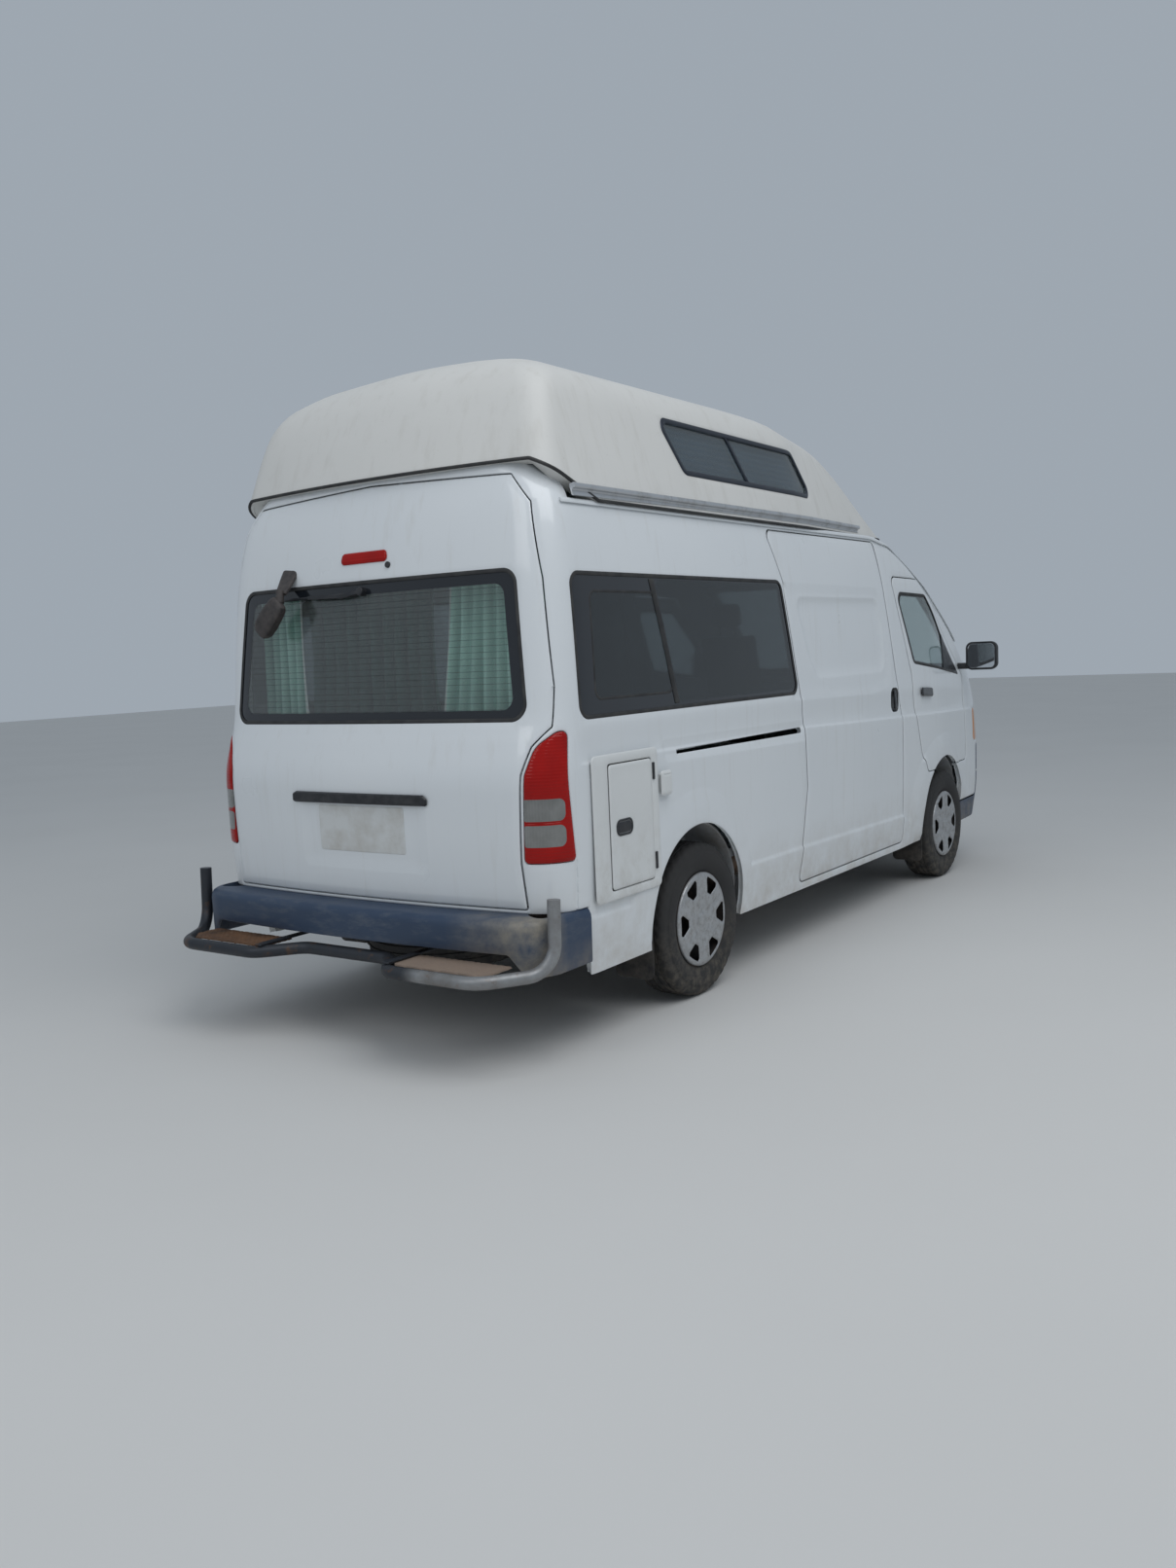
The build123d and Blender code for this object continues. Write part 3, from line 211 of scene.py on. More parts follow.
# Steel body: one shell in white gloss paint, welded from sides, roof rim, pillars and tail frame. Its form is a
# stack of plan outlines, each a bowed nose and tail joined by straight sides with round corners. A sheet's
# points have two parameters: s, metres along the outline from the tail's middle, and height z.
BODY_ROWS = np.array([
    # z, half width, half width at nose, nose y, nose bow, nose corner r, tail y, tail bow, tail corner r
    (0.290, 0.905, 0.850, -2.740, 0.070, 0.190, 2.440, 0.040, 0.150),
    (0.500, 0.930, 0.878, -2.775, 0.075, 0.200, 2.465, 0.040, 0.150),
    (0.800, 0.938, 0.885, -2.768, 0.080, 0.200, 2.480, 0.040, 0.150),
    (1.070, 0.940, 0.880, -2.740, 0.095, 0.190, 2.480, 0.040, 0.150),
    (1.270, 0.928, 0.868, -2.685, 0.125, 0.180, 2.425, 0.040, 0.150),
    (1.560, 0.915, 0.845, -2.400, 0.150, 0.170, 2.400, 0.040, 0.145),
    (1.820, 0.900, 0.815, -2.060, 0.170, 0.160, 2.375, 0.040, 0.140),
    (1.960, 0.884, 0.790, -1.820, 0.190, 0.150, 2.355, 0.038, 0.135),
    (2.098, 0.860, 0.760, -1.480, 0.220, 0.150, 2.330, 0.036, 0.130),
    (2.170, 0.815, 0.700, -1.300, 0.230, 0.150, 2.310, 0.034, 0.130),
    (2.240, 0.740, 0.640, -1.100, 0.230, 0.150, 2.290, 0.032, 0.130),
])
STEP = 0.012


def half_outline(row, taper_end):
    """Points of one half outline from the tail's middle to the nose's middle: bow, corner arc, side, taper,
    corner arc, bow. Each of the five runs has a fixed count, so that like points match from one height to the
    next."""
    z, half, nose_half, nose, bow, nose_r, tail, tail_bow, tail_r = row
    flat = half - tail_r
    across = np.linspace(0, 1, 66)[:-1]
    rear = np.stack([across * flat, tail - tail_bow * across ** 2], 1)
    turn = np.linspace(0, math.pi / 2, 21)[:-1]
    rear_corner = np.stack([flat + tail_r * np.sin(turn), tail - tail_bow - tail_r * (1 - np.cos(turn))], 1)
    start, end = tail - tail_bow - tail_r, nose + bow + nose_r
    knee = max(taper_end, end + 0.25)
    run = np.linspace(start, end, 341)[:-1]
    lean = np.clip((knee - run) / (knee - end), 0, 1)
    side = np.stack([half - (half - nose_half) * lean, run], 1)
    turn = np.linspace(0, math.pi / 2, 24)[:-1]
    nose_flat = nose_half - nose_r
    front_corner = np.stack([nose_flat + nose_r * np.cos(turn), end - nose_r * np.sin(turn)], 1)
    across = np.linspace(1, 0, 60)
    front = np.stack([across * nose_flat, nose + bow * across ** 2], 1)
    return np.concatenate([rear, rear_corner, side, front_corner, front])


def smoothed(table, sigma, axis, mirrored):
    """Weighted mean along one axis with a bell-shaped weight. Ends are continued in line, or as a mirror
    image."""
    reach = int(3 * sigma)
    table = np.moveaxis(table, axis, 0)
    head, tail = table[reach:0:-1], table[-2:-reach - 2:-1]
    if mirrored:
        flip = np.array([-1, 1, 1])
        ends = (head * flip, tail * flip)
    else:
        ends = (2 * table[:1] - head, 2 * table[-1:] - tail)
    long = np.concatenate([ends[0], table, ends[1]])
    weight = np.exp(-0.5 * (np.arange(-reach, reach + 1) / sigma) ** 2)
    weight /= weight.sum()
    total = sum(w * long[k:k + len(table)] for k, w in enumerate(weight))
    return np.moveaxis(total, 0, axis)


def form_table(rows, places, taper_end, levels, sigma):
    """Grid of points: one half outline at each of the evenly spaced places between the rows, smoothed both
    ways."""
    even = np.linspace(places[0], places[-1], levels)
    between = np.array([np.interp(even, places, column) for column in rows.T]).T
    table = []
    for row in between:
        line = half_outline(row, taper_end)
        table.append(np.column_stack([line, np.full(len(line), row[0])]))
    table = smoothed(np.array(table), sigma, 1, True)
    return smoothed(table, sigma, 0, False)


def read_table(table, s, row):
    """The table's point at fractional places, by cubic curves through the four nearest samples each way."""
    def weights(f):
        return np.stack([
            -0.5 * f + f ** 2 - 0.5 * f ** 3, 1 - 2.5 * f ** 2 + 1.5 * f ** 3,
            0.5 * f + 2 * f ** 2 - 1.5 * f ** 3, -0.5 * f ** 2 + 0.5 * f ** 3,
        ], -1)
    i = np.clip(np.floor(row), 0, table.shape[0] - 2).astype(int)
    j = np.clip(np.floor(s), 0, table.shape[1] - 2).astype(int)
    wi, wj = weights(row - i), weights(s - j)
    total = 0
    for a in range(4):
        ia = np.clip(i + a - 1, 0, table.shape[0] - 1)
        for b in range(4):
            jb = np.clip(j + b - 1, 0, table.shape[1] - 1)
            total = total + (wi[..., a] * wj[..., b])[..., None] * table[ia, jb]
    return total


BODY = form_table(BODY_ROWS, BODY_ROWS[:, 0], -1.65, 131, 3.0)


def body_at(s, z):
    """Point of the body's smooth form at s metres from the tail's middle, + to the left, and at height z."""
    low, high = BODY_ROWS[0, 0], BODY_ROWS[-1, 0]
    found = read_table(BODY, np.abs(s) / STEP, (z - low) / (high - low) * (len(BODY) - 1))
    return found * np.stack([np.sign(s), np.ones_like(s), np.ones_like(s)], -1)


def s_where(test, z, low, high, at=body_at):
    """The s between low and high where test turns true for the form's point at (s, z), by halving the
    stretch."""
    low, high = np.full_like(z, low), np.full_like(z, high)
    for _ in range(32):
        middle = (low + high) / 2
        past = test(at(middle, z))
        low, high = np.where(past, low, middle), np.where(past, middle, high)
    return (low + high) / 2


S_END = (BODY.shape[1] - 1) * STEP


def from_side(loop):
    """Turns (y, z) points seen from the left side into (s, z)."""
    y, z = loop.T
    return np.column_stack([s_where(lambda p: p[:, 1] < y, z, 0, S_END), z])


def from_behind(loop):
    """Turns (x, z) points seen from behind into (s, z)."""
    x, z = loop.T
    s = s_where(lambda p: p[:, 0] > np.abs(x), z, 0, 1.4)
    return np.column_stack([s * np.sign(x), z])


def from_ahead(loop):
    """Turns (x, z) points seen from the front into (s, z), measured back from the nose's middle."""
    x, z = loop.T
    s = s_where(lambda p: p[:, 0] < np.abs(x), z, 2.6, S_END)
    return np.column_stack([(S_END - s) * np.sign(x), z])


def rounded(points, radius, step=0.012):
    """Closed loop through the corners in order, each corner cut by an arc, with points at most step apart."""
    points = np.asarray(points, float)
    radius = np.broadcast_to(radius, len(points))
    loop = []
    for before, corner, after, r in zip(np.roll(points, 1, 0), points, np.roll(points, -1, 0), radius):
        a, b = before - corner, after - corner
        a, b = a / np.linalg.norm(a), b / np.linalg.norm(b)
        half = math.acos(np.clip(a @ b, -1, 1)) / 2
        if r <= 0 or half > 1.55:
            loop.append(corner[None])
            continue
        centre = corner + (a + b) / np.linalg.norm(a + b) * r / math.sin(half)
        first, last = corner + a * r / math.tan(half), corner + b * r / math.tan(half)
        share = np.linspace(0, 1, max(3, int(r * (math.pi - 2 * half) / step) + 2))[:, None]
        arc = first * (1 - share) + last * share - centre
        loop.append(centre + arc / np.linalg.norm(arc, axis=1, keepdims=True) * r)
    loop = np.concatenate(loop)
    return spaced(loop, step)


def oblong(across, upright, radius, step=0.012):
    """Rectangle between two limits on each axis, with its corners rounded."""
    (a, b), (c, d) = across, upright
    return rounded([(a, c), (b, c), (b, d), (a, d)], radius, step)


def spaced(loop, step):
    """The same closed loop with points added on each run longer than step."""
    runs = np.roll(loop, -1, 0) - loop
    counts = np.maximum(1, np.ceil(np.linalg.norm(runs, axis=1) / step)).astype(int)
    which = np.repeat(np.arange(len(loop)), counts)
    share = (np.arange(len(which)) - np.repeat(np.cumsum(counts) - counts, counts)) / counts[which]
    return loop[which] + runs[which] * share[:, None]


def inside(points, loop):
    """True where a point lies inside a closed loop, by counting the loop's runs to its right."""
    found = np.zeros(len(points), bool)
    near = np.flatnonzero(np.all((points >= loop.min(0)) & (points <= loop.max(0)), axis=1))
    ax, ay = loop.T
    bx, by = np.roll(loop, -1, 0).T
    rise = np.where(by == ay, 1, by - ay)
    for k in range(0, len(near), 4000):
        part = near[k:k + 4000]
        x, y = points[part, 0][:, None], points[part, 1][:, None]
        crosses = ((ay > y) != (by > y)) & (x < (bx - ax) * (y - ay) / rise + ax)
        found[part] = crosses.sum(axis=1) % 2 == 1
    return found


def gap_to(points, loop, reach=0.08):
    """Distance from each point to a closed loop, or reach where it is farther off. The loop is taken a dozen
    runs at a time, each against the points around it."""
    start, run = loop, np.roll(loop, -1, 0) - loop
    length = np.maximum((run ** 2).sum(1), 1e-12)
    nearest = np.full(len(points), reach)
    for k in range(0, len(loop), 12):
        a, along, squared = start[k:k + 12], run[k:k + 12], length[k:k + 12]
        low, high = np.minimum(a, a + along).min(0) - reach, np.maximum(a, a + along).max(0) + reach
        near = np.flatnonzero(np.all((points > low) & (points < high), axis=1))
        if not len(near):
            continue
        off = points[near, None] - a
        share = np.clip((off * along).sum(2) / squared, 0, 1)
        away = np.sqrt(((off - along * share[..., None]) ** 2).sum(2).min(1))
        nearest[near] = np.minimum(nearest[near], away)
    return nearest


def beside(loop, distance):
    """The loop's points moved sideways by distance, to the left of its direction."""
    along = np.roll(loop, -1, 0) - np.roll(loop, 1, 0)
    along /= np.linalg.norm(along, axis=1, keepdims=True) + 1e-12
    return loop + np.column_stack([-along[:, 1], along[:, 0]]) * distance


def flat_net(edge, holes, traces, spacing, lines=(), hem=(0.002, 0.006)):
    """Triangles over the area inside the edge loop and outside the holes. Points stand on every loop, in rows
    beside it, in rows beside the traces, and on an even grid; they are joined by Delaunay's rule. No triangle
    crosses one of the lines."""
    loops = [edge] + list(holes) + list(lines)
    low, high = edge.min(0), edge.max(0)
    xs, ys = np.arange(low[0], high[0], spacing), np.arange(low[1], high[1], spacing)
    grid = np.stack(np.meshgrid(xs, ys), -1).reshape(-1, 2) + spacing / 2
    rows = [beside(loop, side * d) for loop in loops for d in hem for side in (-1, 1)]
    traced = [beside(trace, d) for trace, offsets in traces for d in offsets]
    if traced:
        near = np.concatenate(traced)
        for loop in loops:
            near = near[gap_to(near, loop) > hem[-1] * 1.2]
        cells = np.round(near / 0.003).astype(np.int64)
        near = near[np.unique(cells, axis=0, return_index=True)[1]]
        rows.append(near)
        keep = np.full(len(grid), True)
        for trace, offsets in traces:
            keep &= gap_to(grid, trace) > max(abs(d) for d in offsets) + spacing * 0.3
        grid = grid[keep]
    for loop in loops:
        grid = grid[gap_to(grid, loop) > hem[-1] + spacing * 0.35]
    extra = np.concatenate(rows + [grid])
    fits = inside(extra, edge)
    for hole in holes:
        fits &= ~inside(extra, hole)
    extra = extra[fits]
    points = np.concatenate(loops + [extra])
    starts = np.cumsum([0] + [len(loop) for loop in loops])
    edges = np.concatenate([
        np.stack([np.arange(len(loop)), np.roll(np.arange(len(loop)), -1)], 1) + start
        for loop, start in zip(loops, starts)
    ])
    found = geometry.delaunay_2d_cdt(points.tolist(), edges.tolist(), [], 0, 1e-6)
    flat, faces = np.array([tuple(v) for v in found[0]]), np.array(found[2])
    middle = flat[faces].mean(1)
    fits = inside(middle, edge)
    for hole in holes:
        fits &= ~inside(middle, hole)
    faces = faces[fits]
    used = np.unique(faces)
    renumber = np.zeros(len(flat), int)
    renumber[used] = np.arange(len(used))
    return flat[used], renumber[faces]


def corner_normals(points, faces):
    """Unit normal at each point: the sum of its faces' normals, each as long as the face is large."""
    a, b, c = points[faces].transpose(1, 0, 2)
    face = np.cross(b - a, c - a)
    total = np.zeros_like(points)
    for k in range(3):
        np.add.at(total, faces[:, k], face)
    return total / (np.linalg.norm(total, axis=1, keepdims=True) + 1e-12)


def rim_runs(faces):
    """Edges that only one face has, in that face's direction."""
    runs = np.concatenate([faces[:, [0, 1]], faces[:, [1, 2]], faces[:, [2, 0]]])
    low, high = runs.min(1), runs.max(1)
    key = low.astype(np.int64) * (faces.max() + 1) + high
    _, first, count = np.unique(key, return_index=True, return_counts=True)
    return runs[first[count == 1]]


def merged(*meshes):
    """Several (points, faces) meshes as one, with the number of the mesh that each face came from."""
    starts = np.cumsum([0] + [len(mesh[0]) for mesh in meshes])
    points = np.concatenate([mesh[0] for mesh in meshes])
    faces = np.concatenate([mesh[1] + start for mesh, start in zip(meshes, starts)])
    return points, faces, np.repeat(np.arange(len(meshes)), [len(mesh[1]) for mesh in meshes])


def thick(points, faces, depth):
    """A closed wall: the sheet, a copy moved inward along the normals by depth, and a rim between them."""
    inner = points - corner_normals(points, faces) * depth
    rim = rim_runs(faces)
    count = len(points)
    quads = np.stack([rim[:, 1], rim[:, 0], rim[:, 0] + count, rim[:, 1] + count], 1)
    rim_faces = np.concatenate([quads[:, [0, 1, 2]], quads[:, [0, 2, 3]]])
    return np.concatenate([points, inner]), np.concatenate([faces, faces[:, ::-1] + count, rim_faces])


def finished(name, points, faces, mats, body, slot, replaced=(), sharp=40, face_mats=None):
    """Makes the mesh object, shades it smooth except at edges sharper than the angle, hangs it on its body's
    empty and hides the parts it replaces.
    """
    mesh = bpy.data.meshes.new(name)
    mesh.from_pydata(np.asarray(points).tolist(), [], [tuple(f) for f in np.asarray(faces).tolist()]
                     if not isinstance(faces, list) else faces)
    for mat in mats:
        mesh.materials.append(mat)
    if face_mats is not None:
        mesh.polygons.foreach_set("material_index", np.asarray(face_mats, np.int32))
    mesh.shade_smooth()
    mesh.set_sharp_from_angle(angle=math.radians(sharp))
    mesh.validate()
    obj = bpy.data.objects.new(name, mesh)
    bpy.context.scene.collection.objects.link(obj)
    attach(obj, body)
    if replaced:
        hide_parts(*replaced)
    return obj


def signed_area(loop):
    """Area inside a closed loop, below 0 where the loop runs clockwise."""
    x, y = loop.T
    return 0.5 * np.sum(x * np.roll(y, -1) - np.roll(x, -1) * y)


def inset(loop, distance):
    """The loop moved inward by distance, whichever way round it runs."""
    return beside(loop, distance if signed_area(loop) > 0 else -distance)


def flipped(loop):
    """The loop's mirror image across the van's middle plane, in (s, z) or (x, z)."""
    return loop * np.array([-1, 1])


def from_nose(loop):
    """A loop measured back from the nose's middle, as (s, z) on the left half and on past the seam."""
    return np.column_stack([S_END - loop[:, 0], loop[:, 1]])


def nose_at(t, z):
    """The body's point at t metres from the nose's middle, + to the left, and at height z."""
    return body_at(np.where(t < 0, -1.0, 1.0) * (S_END - np.abs(t)), z)


def ease(value, low, high):
    """0 where value is at low, 1 at high, and an S-shaped rise between."""
    share = np.clip((value - low) / (high - low), 0, 1)
    return share * share * (3 - 2 * share)


def joined(points, faces):
    """Makes points that lie within a tenth of a millimetre into one, and drops faces that lose their area."""
    places = np.round(points * 1e4).astype(np.int64)
    _, first, which = np.unique(places, axis=0, return_index=True, return_inverse=True)
    faces = which.reshape(-1)[faces]
    whole = (faces[:, 0] != faces[:, 1]) & (faces[:, 1] != faces[:, 2]) & (faces[:, 2] != faces[:, 0])
    return points[first], faces[whole], first


# Pressed lines of the sides, as (y, z): belt shoulder, ledge above the sill, arch flares (middle, reach ahead,
# reach behind, reach up), the sliding door's sunk field and blank window, and the slide rail's recess.
BELT = np.array([(-2.4, 1.03), (-2.106, 1.036), (-1.05, 1.06), (-0.265, 1.079), (0.292, 1.095), (2.3, 1.1)])
LEDGE = np.array([(-1.3, 0.3), (-1.149, 0.42), (-1.006, 0.482), (-0.218, 0.492), (0.362, 0.502), (2.3, 0.512)])
FRONT_ARCH = (-1.75, 0.37)
REAR_ARCH = (1.378, 0.372)
FLARES = [(*FRONT_ARCH, 0.4, 0.64, 0.544), (*REAR_ARCH, 0.49, 0.58, 0.54)]
FIELD = rounded([(0.52, 1.815), (-0.775, 1.805), (-0.872, 1.64), (-0.884, 1.25), (-0.6, 1.222), (0.4, 1.24)],
                (0.01, 0.05, 0.1, 0.1, 0.2, 0.01))
BLANK = rounded([(0.3, 1.745), (-0.745, 1.745), (-0.8, 1.62), (-0.812, 1.34), (0.1, 1.337), (0.19, 1.47)],
                (0.05, 0.06, 0.1, 0.08, 0.08, 0.15))
SEAM_Y = 2.29
SLIDE_RECESS = rounded([(0.2, 1.034), (1.642, 1.052), (1.648, 1.146), (0.2, 1.134)], 0.025)


def to_edge(flat, loop):
    """Distance of flat points to a loop: above 0 inside it, below 0 outside, and -0.5 m where it is far off."""
    near = np.full(len(flat), -0.5)
    low, high = loop.min(0) - 0.1, loop.max(0) + 0.1
    fits = np.all((flat > low) & (flat < high), axis=1)
    near[fits] = gap_to(flat[fits], loop) * np.where(inside(flat[fits], loop), 1, -1)
    return near


def side_relief(p):
    """Height of the pressed lines over the smooth side, in metres: S-shaped steps across each line."""
    flat = p[:, 1:]
    y, z = flat.T
    along = ease(y, -2.5, -2.36) * ease(y, 2.3, 2.16)
    belt = np.interp(y, *BELT.T)
    rise = -0.007 * ease(z, belt, belt + 0.014) * ease(z, 1.25, belt + 0.05)
    ledge = np.interp(y, *LEDGE.T)
    lift = 0.01 * ease(z, ledge + 0.016, ledge - 0.004) * ease(y, -1.3, -1.0)
    for middle, height, ahead, behind, up in FLARES:
        reach = np.where(y < middle, ahead, behind)
        share = np.hypot((y - middle) / reach, (z - height) / up)
        lift = np.maximum(lift, 0.011 * ease((1 - share) * 0.5, -0.004, 0.024) * ease(z, 0.28, 0.34))
    rise = (rise + lift) * along
    rise -= 0.006 * ease(to_edge(flat, FIELD), 0, 0.014) * ease(y, 0.44, 0.4)
    rise -= 0.007 * ease(to_edge(flat, BLANK), -0.004, 0.016)
    rise -= 0.004 * ease(np.abs(y - SEAM_Y), 0.0035, 0.001) * ease(z, 0.75, 0.745)
    return rise - 0.006 * ease(to_edge(flat, SLIDE_RECESS), 0, 0.006) * ease(y, 0.3, 0.33)


def pressed(edge, holes, at, spacing, depth, traces=(), relief=None, rolled=None, roll=0.003, lift=0.0,
            lines=()):
    """A panel with a wall: the net over edge and holes put onto a form, raised along its normals by lift and
    relief, with the edges of the rolled loops turned in. The wall goes inward by depth. Also gives each point's
    place on the flat net."""
    flat, faces = flat_net(edge, holes, traces, spacing, lines)
    base = at(flat[:, 0], flat[:, 1])
    base, faces, kept = joined(base, faces)
    flat = flat[kept]
    normals = corner_normals(base, faces)
    if np.sum(normals * (base - (0, 0, 1))) < 0:
        normals, faces = -normals, faces[:, ::-1]
    rise = np.full(len(base), lift)
    if relief is not None:
        rise += relief(base)
    for loop in rolled if rolled is not None else [edge] + list(holes):
        rise -= roll * (1 - np.clip(gap_to(flat, loop) / 0.006, 0, 1)) ** 2
    points, faces = thick(base + normals * rise[:, None], faces, depth)
    return points, faces, np.concatenate([flat, flat])


def mirrored(points, faces):
    """The mirror image of a mesh across the van's middle plane, with its faces still outward."""
    backward = faces[:, ::-1] if isinstance(faces, np.ndarray) else [face[::-1] for face in faces]
    return points * np.array([-1, 1, 1]), backward


def hands(points, faces):
    """A left-hand mesh and its mirror image, each with its side's name."""
    return ("left", (points, faces)), ("right", mirrored(points, faces))


def both_sides(points, faces, flags=()):
    """A left-hand mesh with its mirror image, and the flags of the faces for both."""
    points, faces, _ = merged((points, faces), mirrored(points, faces))
    return points, faces, np.tile(flags, 2)


def circle(middle, radius, step=0.012):
    """Closed circle of points at most step apart."""
    turn = np.linspace(0, 2 * math.pi, int(2 * math.pi * radius / step) + 1)[:-1]
    return np.column_stack([middle[0] + radius * np.cos(turn), middle[1] + radius * np.sin(turn)])


FRONT_DOOR = rounded([(-0.97, 1.88), (-1.49, 1.872), (-2.24, 1.27), (-2.25, 0.7), (-1.412, 0.7),
                      (-1.327, 0.824), (-1.228, 1.1), (-1.204, 1.314)], 0.04)
DOOR_WINDOW = rounded([(-1.045, 1.786), (-1.51, 1.775), (-2.115, 1.28), (-1.255, 1.372)], 0.045)
SLIDING_DOOR = rounded([(-1.025, 0.325), (-1.025, 1.08), (-0.965, 1.31), (-0.8, 2.07), (0.55, 2.07),
                        (0.42, 1.81), (0.31, 1.26), (0.287, 0.8), (0.39, 0.325)], 0.04)
SIDE_WINDOW = rounded([(0.345, 1.272), (2.215, 1.272), (2.205, 1.82), (0.455, 1.82)], 0.05)
SLIDE_SLOT = rounded([(0.335, 1.076), (1.537, 1.08), (1.537, 1.098), (0.335, 1.104)], 0.004)
LOCKER_HOLE = oblong((1.758, 2.104), (0.578, 1.104), 0.01)
HATCH_HALF = [(0.8, 0.572), (0.788, 0.75), (0.8, 1.08), (0.83, 1.18), (0.888, 1.25), (0.888, 1.4),
              (0.848, 1.8), (0.79, 2.085), (0.69, 2.2)]
HATCH = rounded(HATCH_HALF + [(0, 2.225)] + [(-x, z) for x, z in HATCH_HALF[::-1]], 0.012)
HATCH_WINDOW = rounded([(-0.8, 1.278), (0.8, 1.278), (0.742, 1.84), (-0.742, 1.84)], 0.06)
WINDSCREEN = rounded([(-0.79, 1.294), (0.79, 1.294), (0.722, 1.952), (-0.722, 1.952)], 0.06)
GRILLE = oblong((-0.535, 0.535), (0.8, 0.984), 0.004)
BONNET = oblong((-0.612, 0.612), (1.012, 1.256), 0.02)
LAMP_INNER = np.array([(0.796, 0.748), (0.808, 1.078), (0.838, 1.182), (0.898, 1.236)])


def there_and_back(line):
    """An open line as a closed loop without area."""
    return np.concatenate([line, line[::-1][1:-1]])


TAIL_LAMP = rounded(np.concatenate([from_behind(LAMP_INNER),
                                    from_side(np.array([(SEAM_Y, 1.236), (SEAM_Y, 0.748)]))]),
                    (0.02, 0.05, 0.1, 0.06, 0.03, 0.02))
NOSE_LAMP = rounded(np.concatenate([
    from_nose(from_ahead(np.array([(0.54, 0.8)]))), from_side(np.array([(-2.44, 0.812), (-2.44, 1.036)])),
    from_nose(from_ahead(np.array([(0.64, 1.004), (0.54, 0.984)])))]), 0.025)

paint = Shade("white_paint", roughness=0.26, Coat_Weight=0.7, Coat_Roughness=0.07)
clouds = paint.noise(1.3, 5.0)
tone = paint.mix(clouds, (0.72, 0.75, 0.77), (0.77, 0.79, 0.8))
splashes = paint.settled(7.0, 0.65, 0.34, 0.72, 0.66, 0.28)
tone = paint.over(tone, splashes, 0.62, (0.42, 0.36, 0.28))
streak = paint.ramp(paint.noise(1.0, 5.0, 0.6, paint.stretched((22, 22, 1.6))), 0.56, 0.8)
tone = paint.over(tone, streak, 0.22, (0.5, 0.47, 0.41))
spot = paint.node("ShaderNodeVectorMath", operation="DISTANCE", in_1=(0.152, 2.29, 2.108))
paint.link(paint.place, spot.inputs[0])
reach = paint.maths("ADD", spot.outputs["Value"], paint.maths("MULTIPLY", paint.noise(90.0, 5.0, 0.7), 0.04))
tone = paint.mix(paint.ramp(reach, 0.042, 0.034), tone, (0.16, 0.045, 0.022))
paint.colour(tone)
paint.rough(paint.maths("ADD", paint.maths("MULTIPLY", clouds, 0.5), splashes), 0.2, 0.62)


def side_lines(half):
    """Traces of the pressed lines on one half, with the distances at which rows of points stand beside each."""
    found = []
    # line, its front end, points, distances of the rows
    long_lines = (
        (BELT, -2.4, 388, (-0.004, 0.001, 0.006, 0.011, 0.016)),
        (LEDGE, -1.16, 284, (-0.006, 0, 0.006, 0.012, 0.018)),
    )
    for line, front, count, rows in long_lines:
        y = np.linspace(front, 2.25, count)
        found.append((there_and_back(np.column_stack([y, np.interp(y, *line.T)])), rows))
    for middle, height, ahead, behind, up in FLARES:
        turn = np.linspace(0, 2 * math.pi, 261)[:-1]
        reach = np.where(np.cos(turn) < 0, ahead, behind)
        flare = np.column_stack([middle + reach * np.cos(turn), height + up * np.sin(turn)])
        found.append((flare, (0.002, 0.01, 0.018, 0.027, 0.036, 0.046)))
    seam = there_and_back(np.column_stack([np.full(60, SEAM_Y), np.linspace(0.56, 0.745, 60)]))
    found.append((seam, (0.001, 0.0035, 0.006)))
    found += [(FIELD, (-0.001, 0.004, 0.009, 0.014)), (BLANK, (-0.004, 0.002, 0.008, 0.016)),
              (SLIDE_RECESS, (-0.001, 0.003, 0.007))]
    return [(from_side(loop) * np.array([half, 1]), [d * half for d in rows]) for loop, rows in found]


# Body shell: the largest steel pressing, in white paint, with a hole for each door, window, lamp, bumper and
# wheel. All are cut in one net, whose edges are turned in along each hole like a pressed flange.
PANEL_SPACING = 0.026
PANEL_DEPTH = 0.03
half_holes = [from_side(loop) for loop in (FRONT_DOOR, SLIDING_DOOR, SIDE_WINDOW, SLIDE_SLOT)]
half_holes += [from_side(circle(FRONT_ARCH, 0.402)), from_side(circle(REAR_ARCH, 0.392)), TAIL_LAMP, NOSE_LAMP]
half_holes += [from_nose(from_ahead(loop)) for loop in (WINDSCREEN, GRILLE, BONNET)]
low_s, high_s = from_side(np.array([(-2.1, 0.44), (-2.5, 0.79)]))[:, 0]
rear_s = from_side(np.array([(2.226, 0.56)]))[0, 0]
half_holes.append(rounded([(low_s, 0.2), (S_END + 0.5, 0.2), (S_END + 0.5, 0.79), (high_s, 0.79),
                           (high_s, 0.44), (low_s, 0.44)], (0, 0, 0, 0.03, 0.02, 0.02)))
body_holes = half_holes + [flipped(loop) for loop in half_holes]
body_holes += [from_behind(HATCH), from_side(LOCKER_HOLE) * np.array([-1, 1])]
body_holes.append(oblong((-rear_s, rear_s), (0.2, 0.56), 0))
top_s = from_side(np.array([(2.13, 2.098)]))[0, 0]
body_edge = spaced(np.array([(-S_END, 0.29), (S_END, 0.29), (S_END, 2.098), (top_s, 2.098), (top_s, 2.24),
                             (-top_s, 2.24), (-top_s, 2.098), (-S_END, 2.098)]), 0.024)
points, faces, _ = pressed(body_edge, body_holes, body_at, PANEL_SPACING, PANEL_DEPTH,
                           side_lines(1) + side_lines(-1), side_relief, rolled=body_holes)
finished("body_skin", points, faces, [paint.mat], "van", "white_paint", ["body_shell"])


# Sliding doors: a long steel panel on each side, with a sunk field, a blank pressed window and a cup-shaped
# handle. Both are one net put onto the side's form; the left one is the right one's mirror image.
PANEL_GAP = 0.006
gloss_black = Shade("gloss_black", roughness=0.22, Coat_Weight=0.4)
gloss_black.clouded((0.012, 0.013, 0.015), (0.022, 0.023, 0.026), 30.0)
CUP = oblong((-0.975, -0.862), (1.1, 1.24), 0.04)


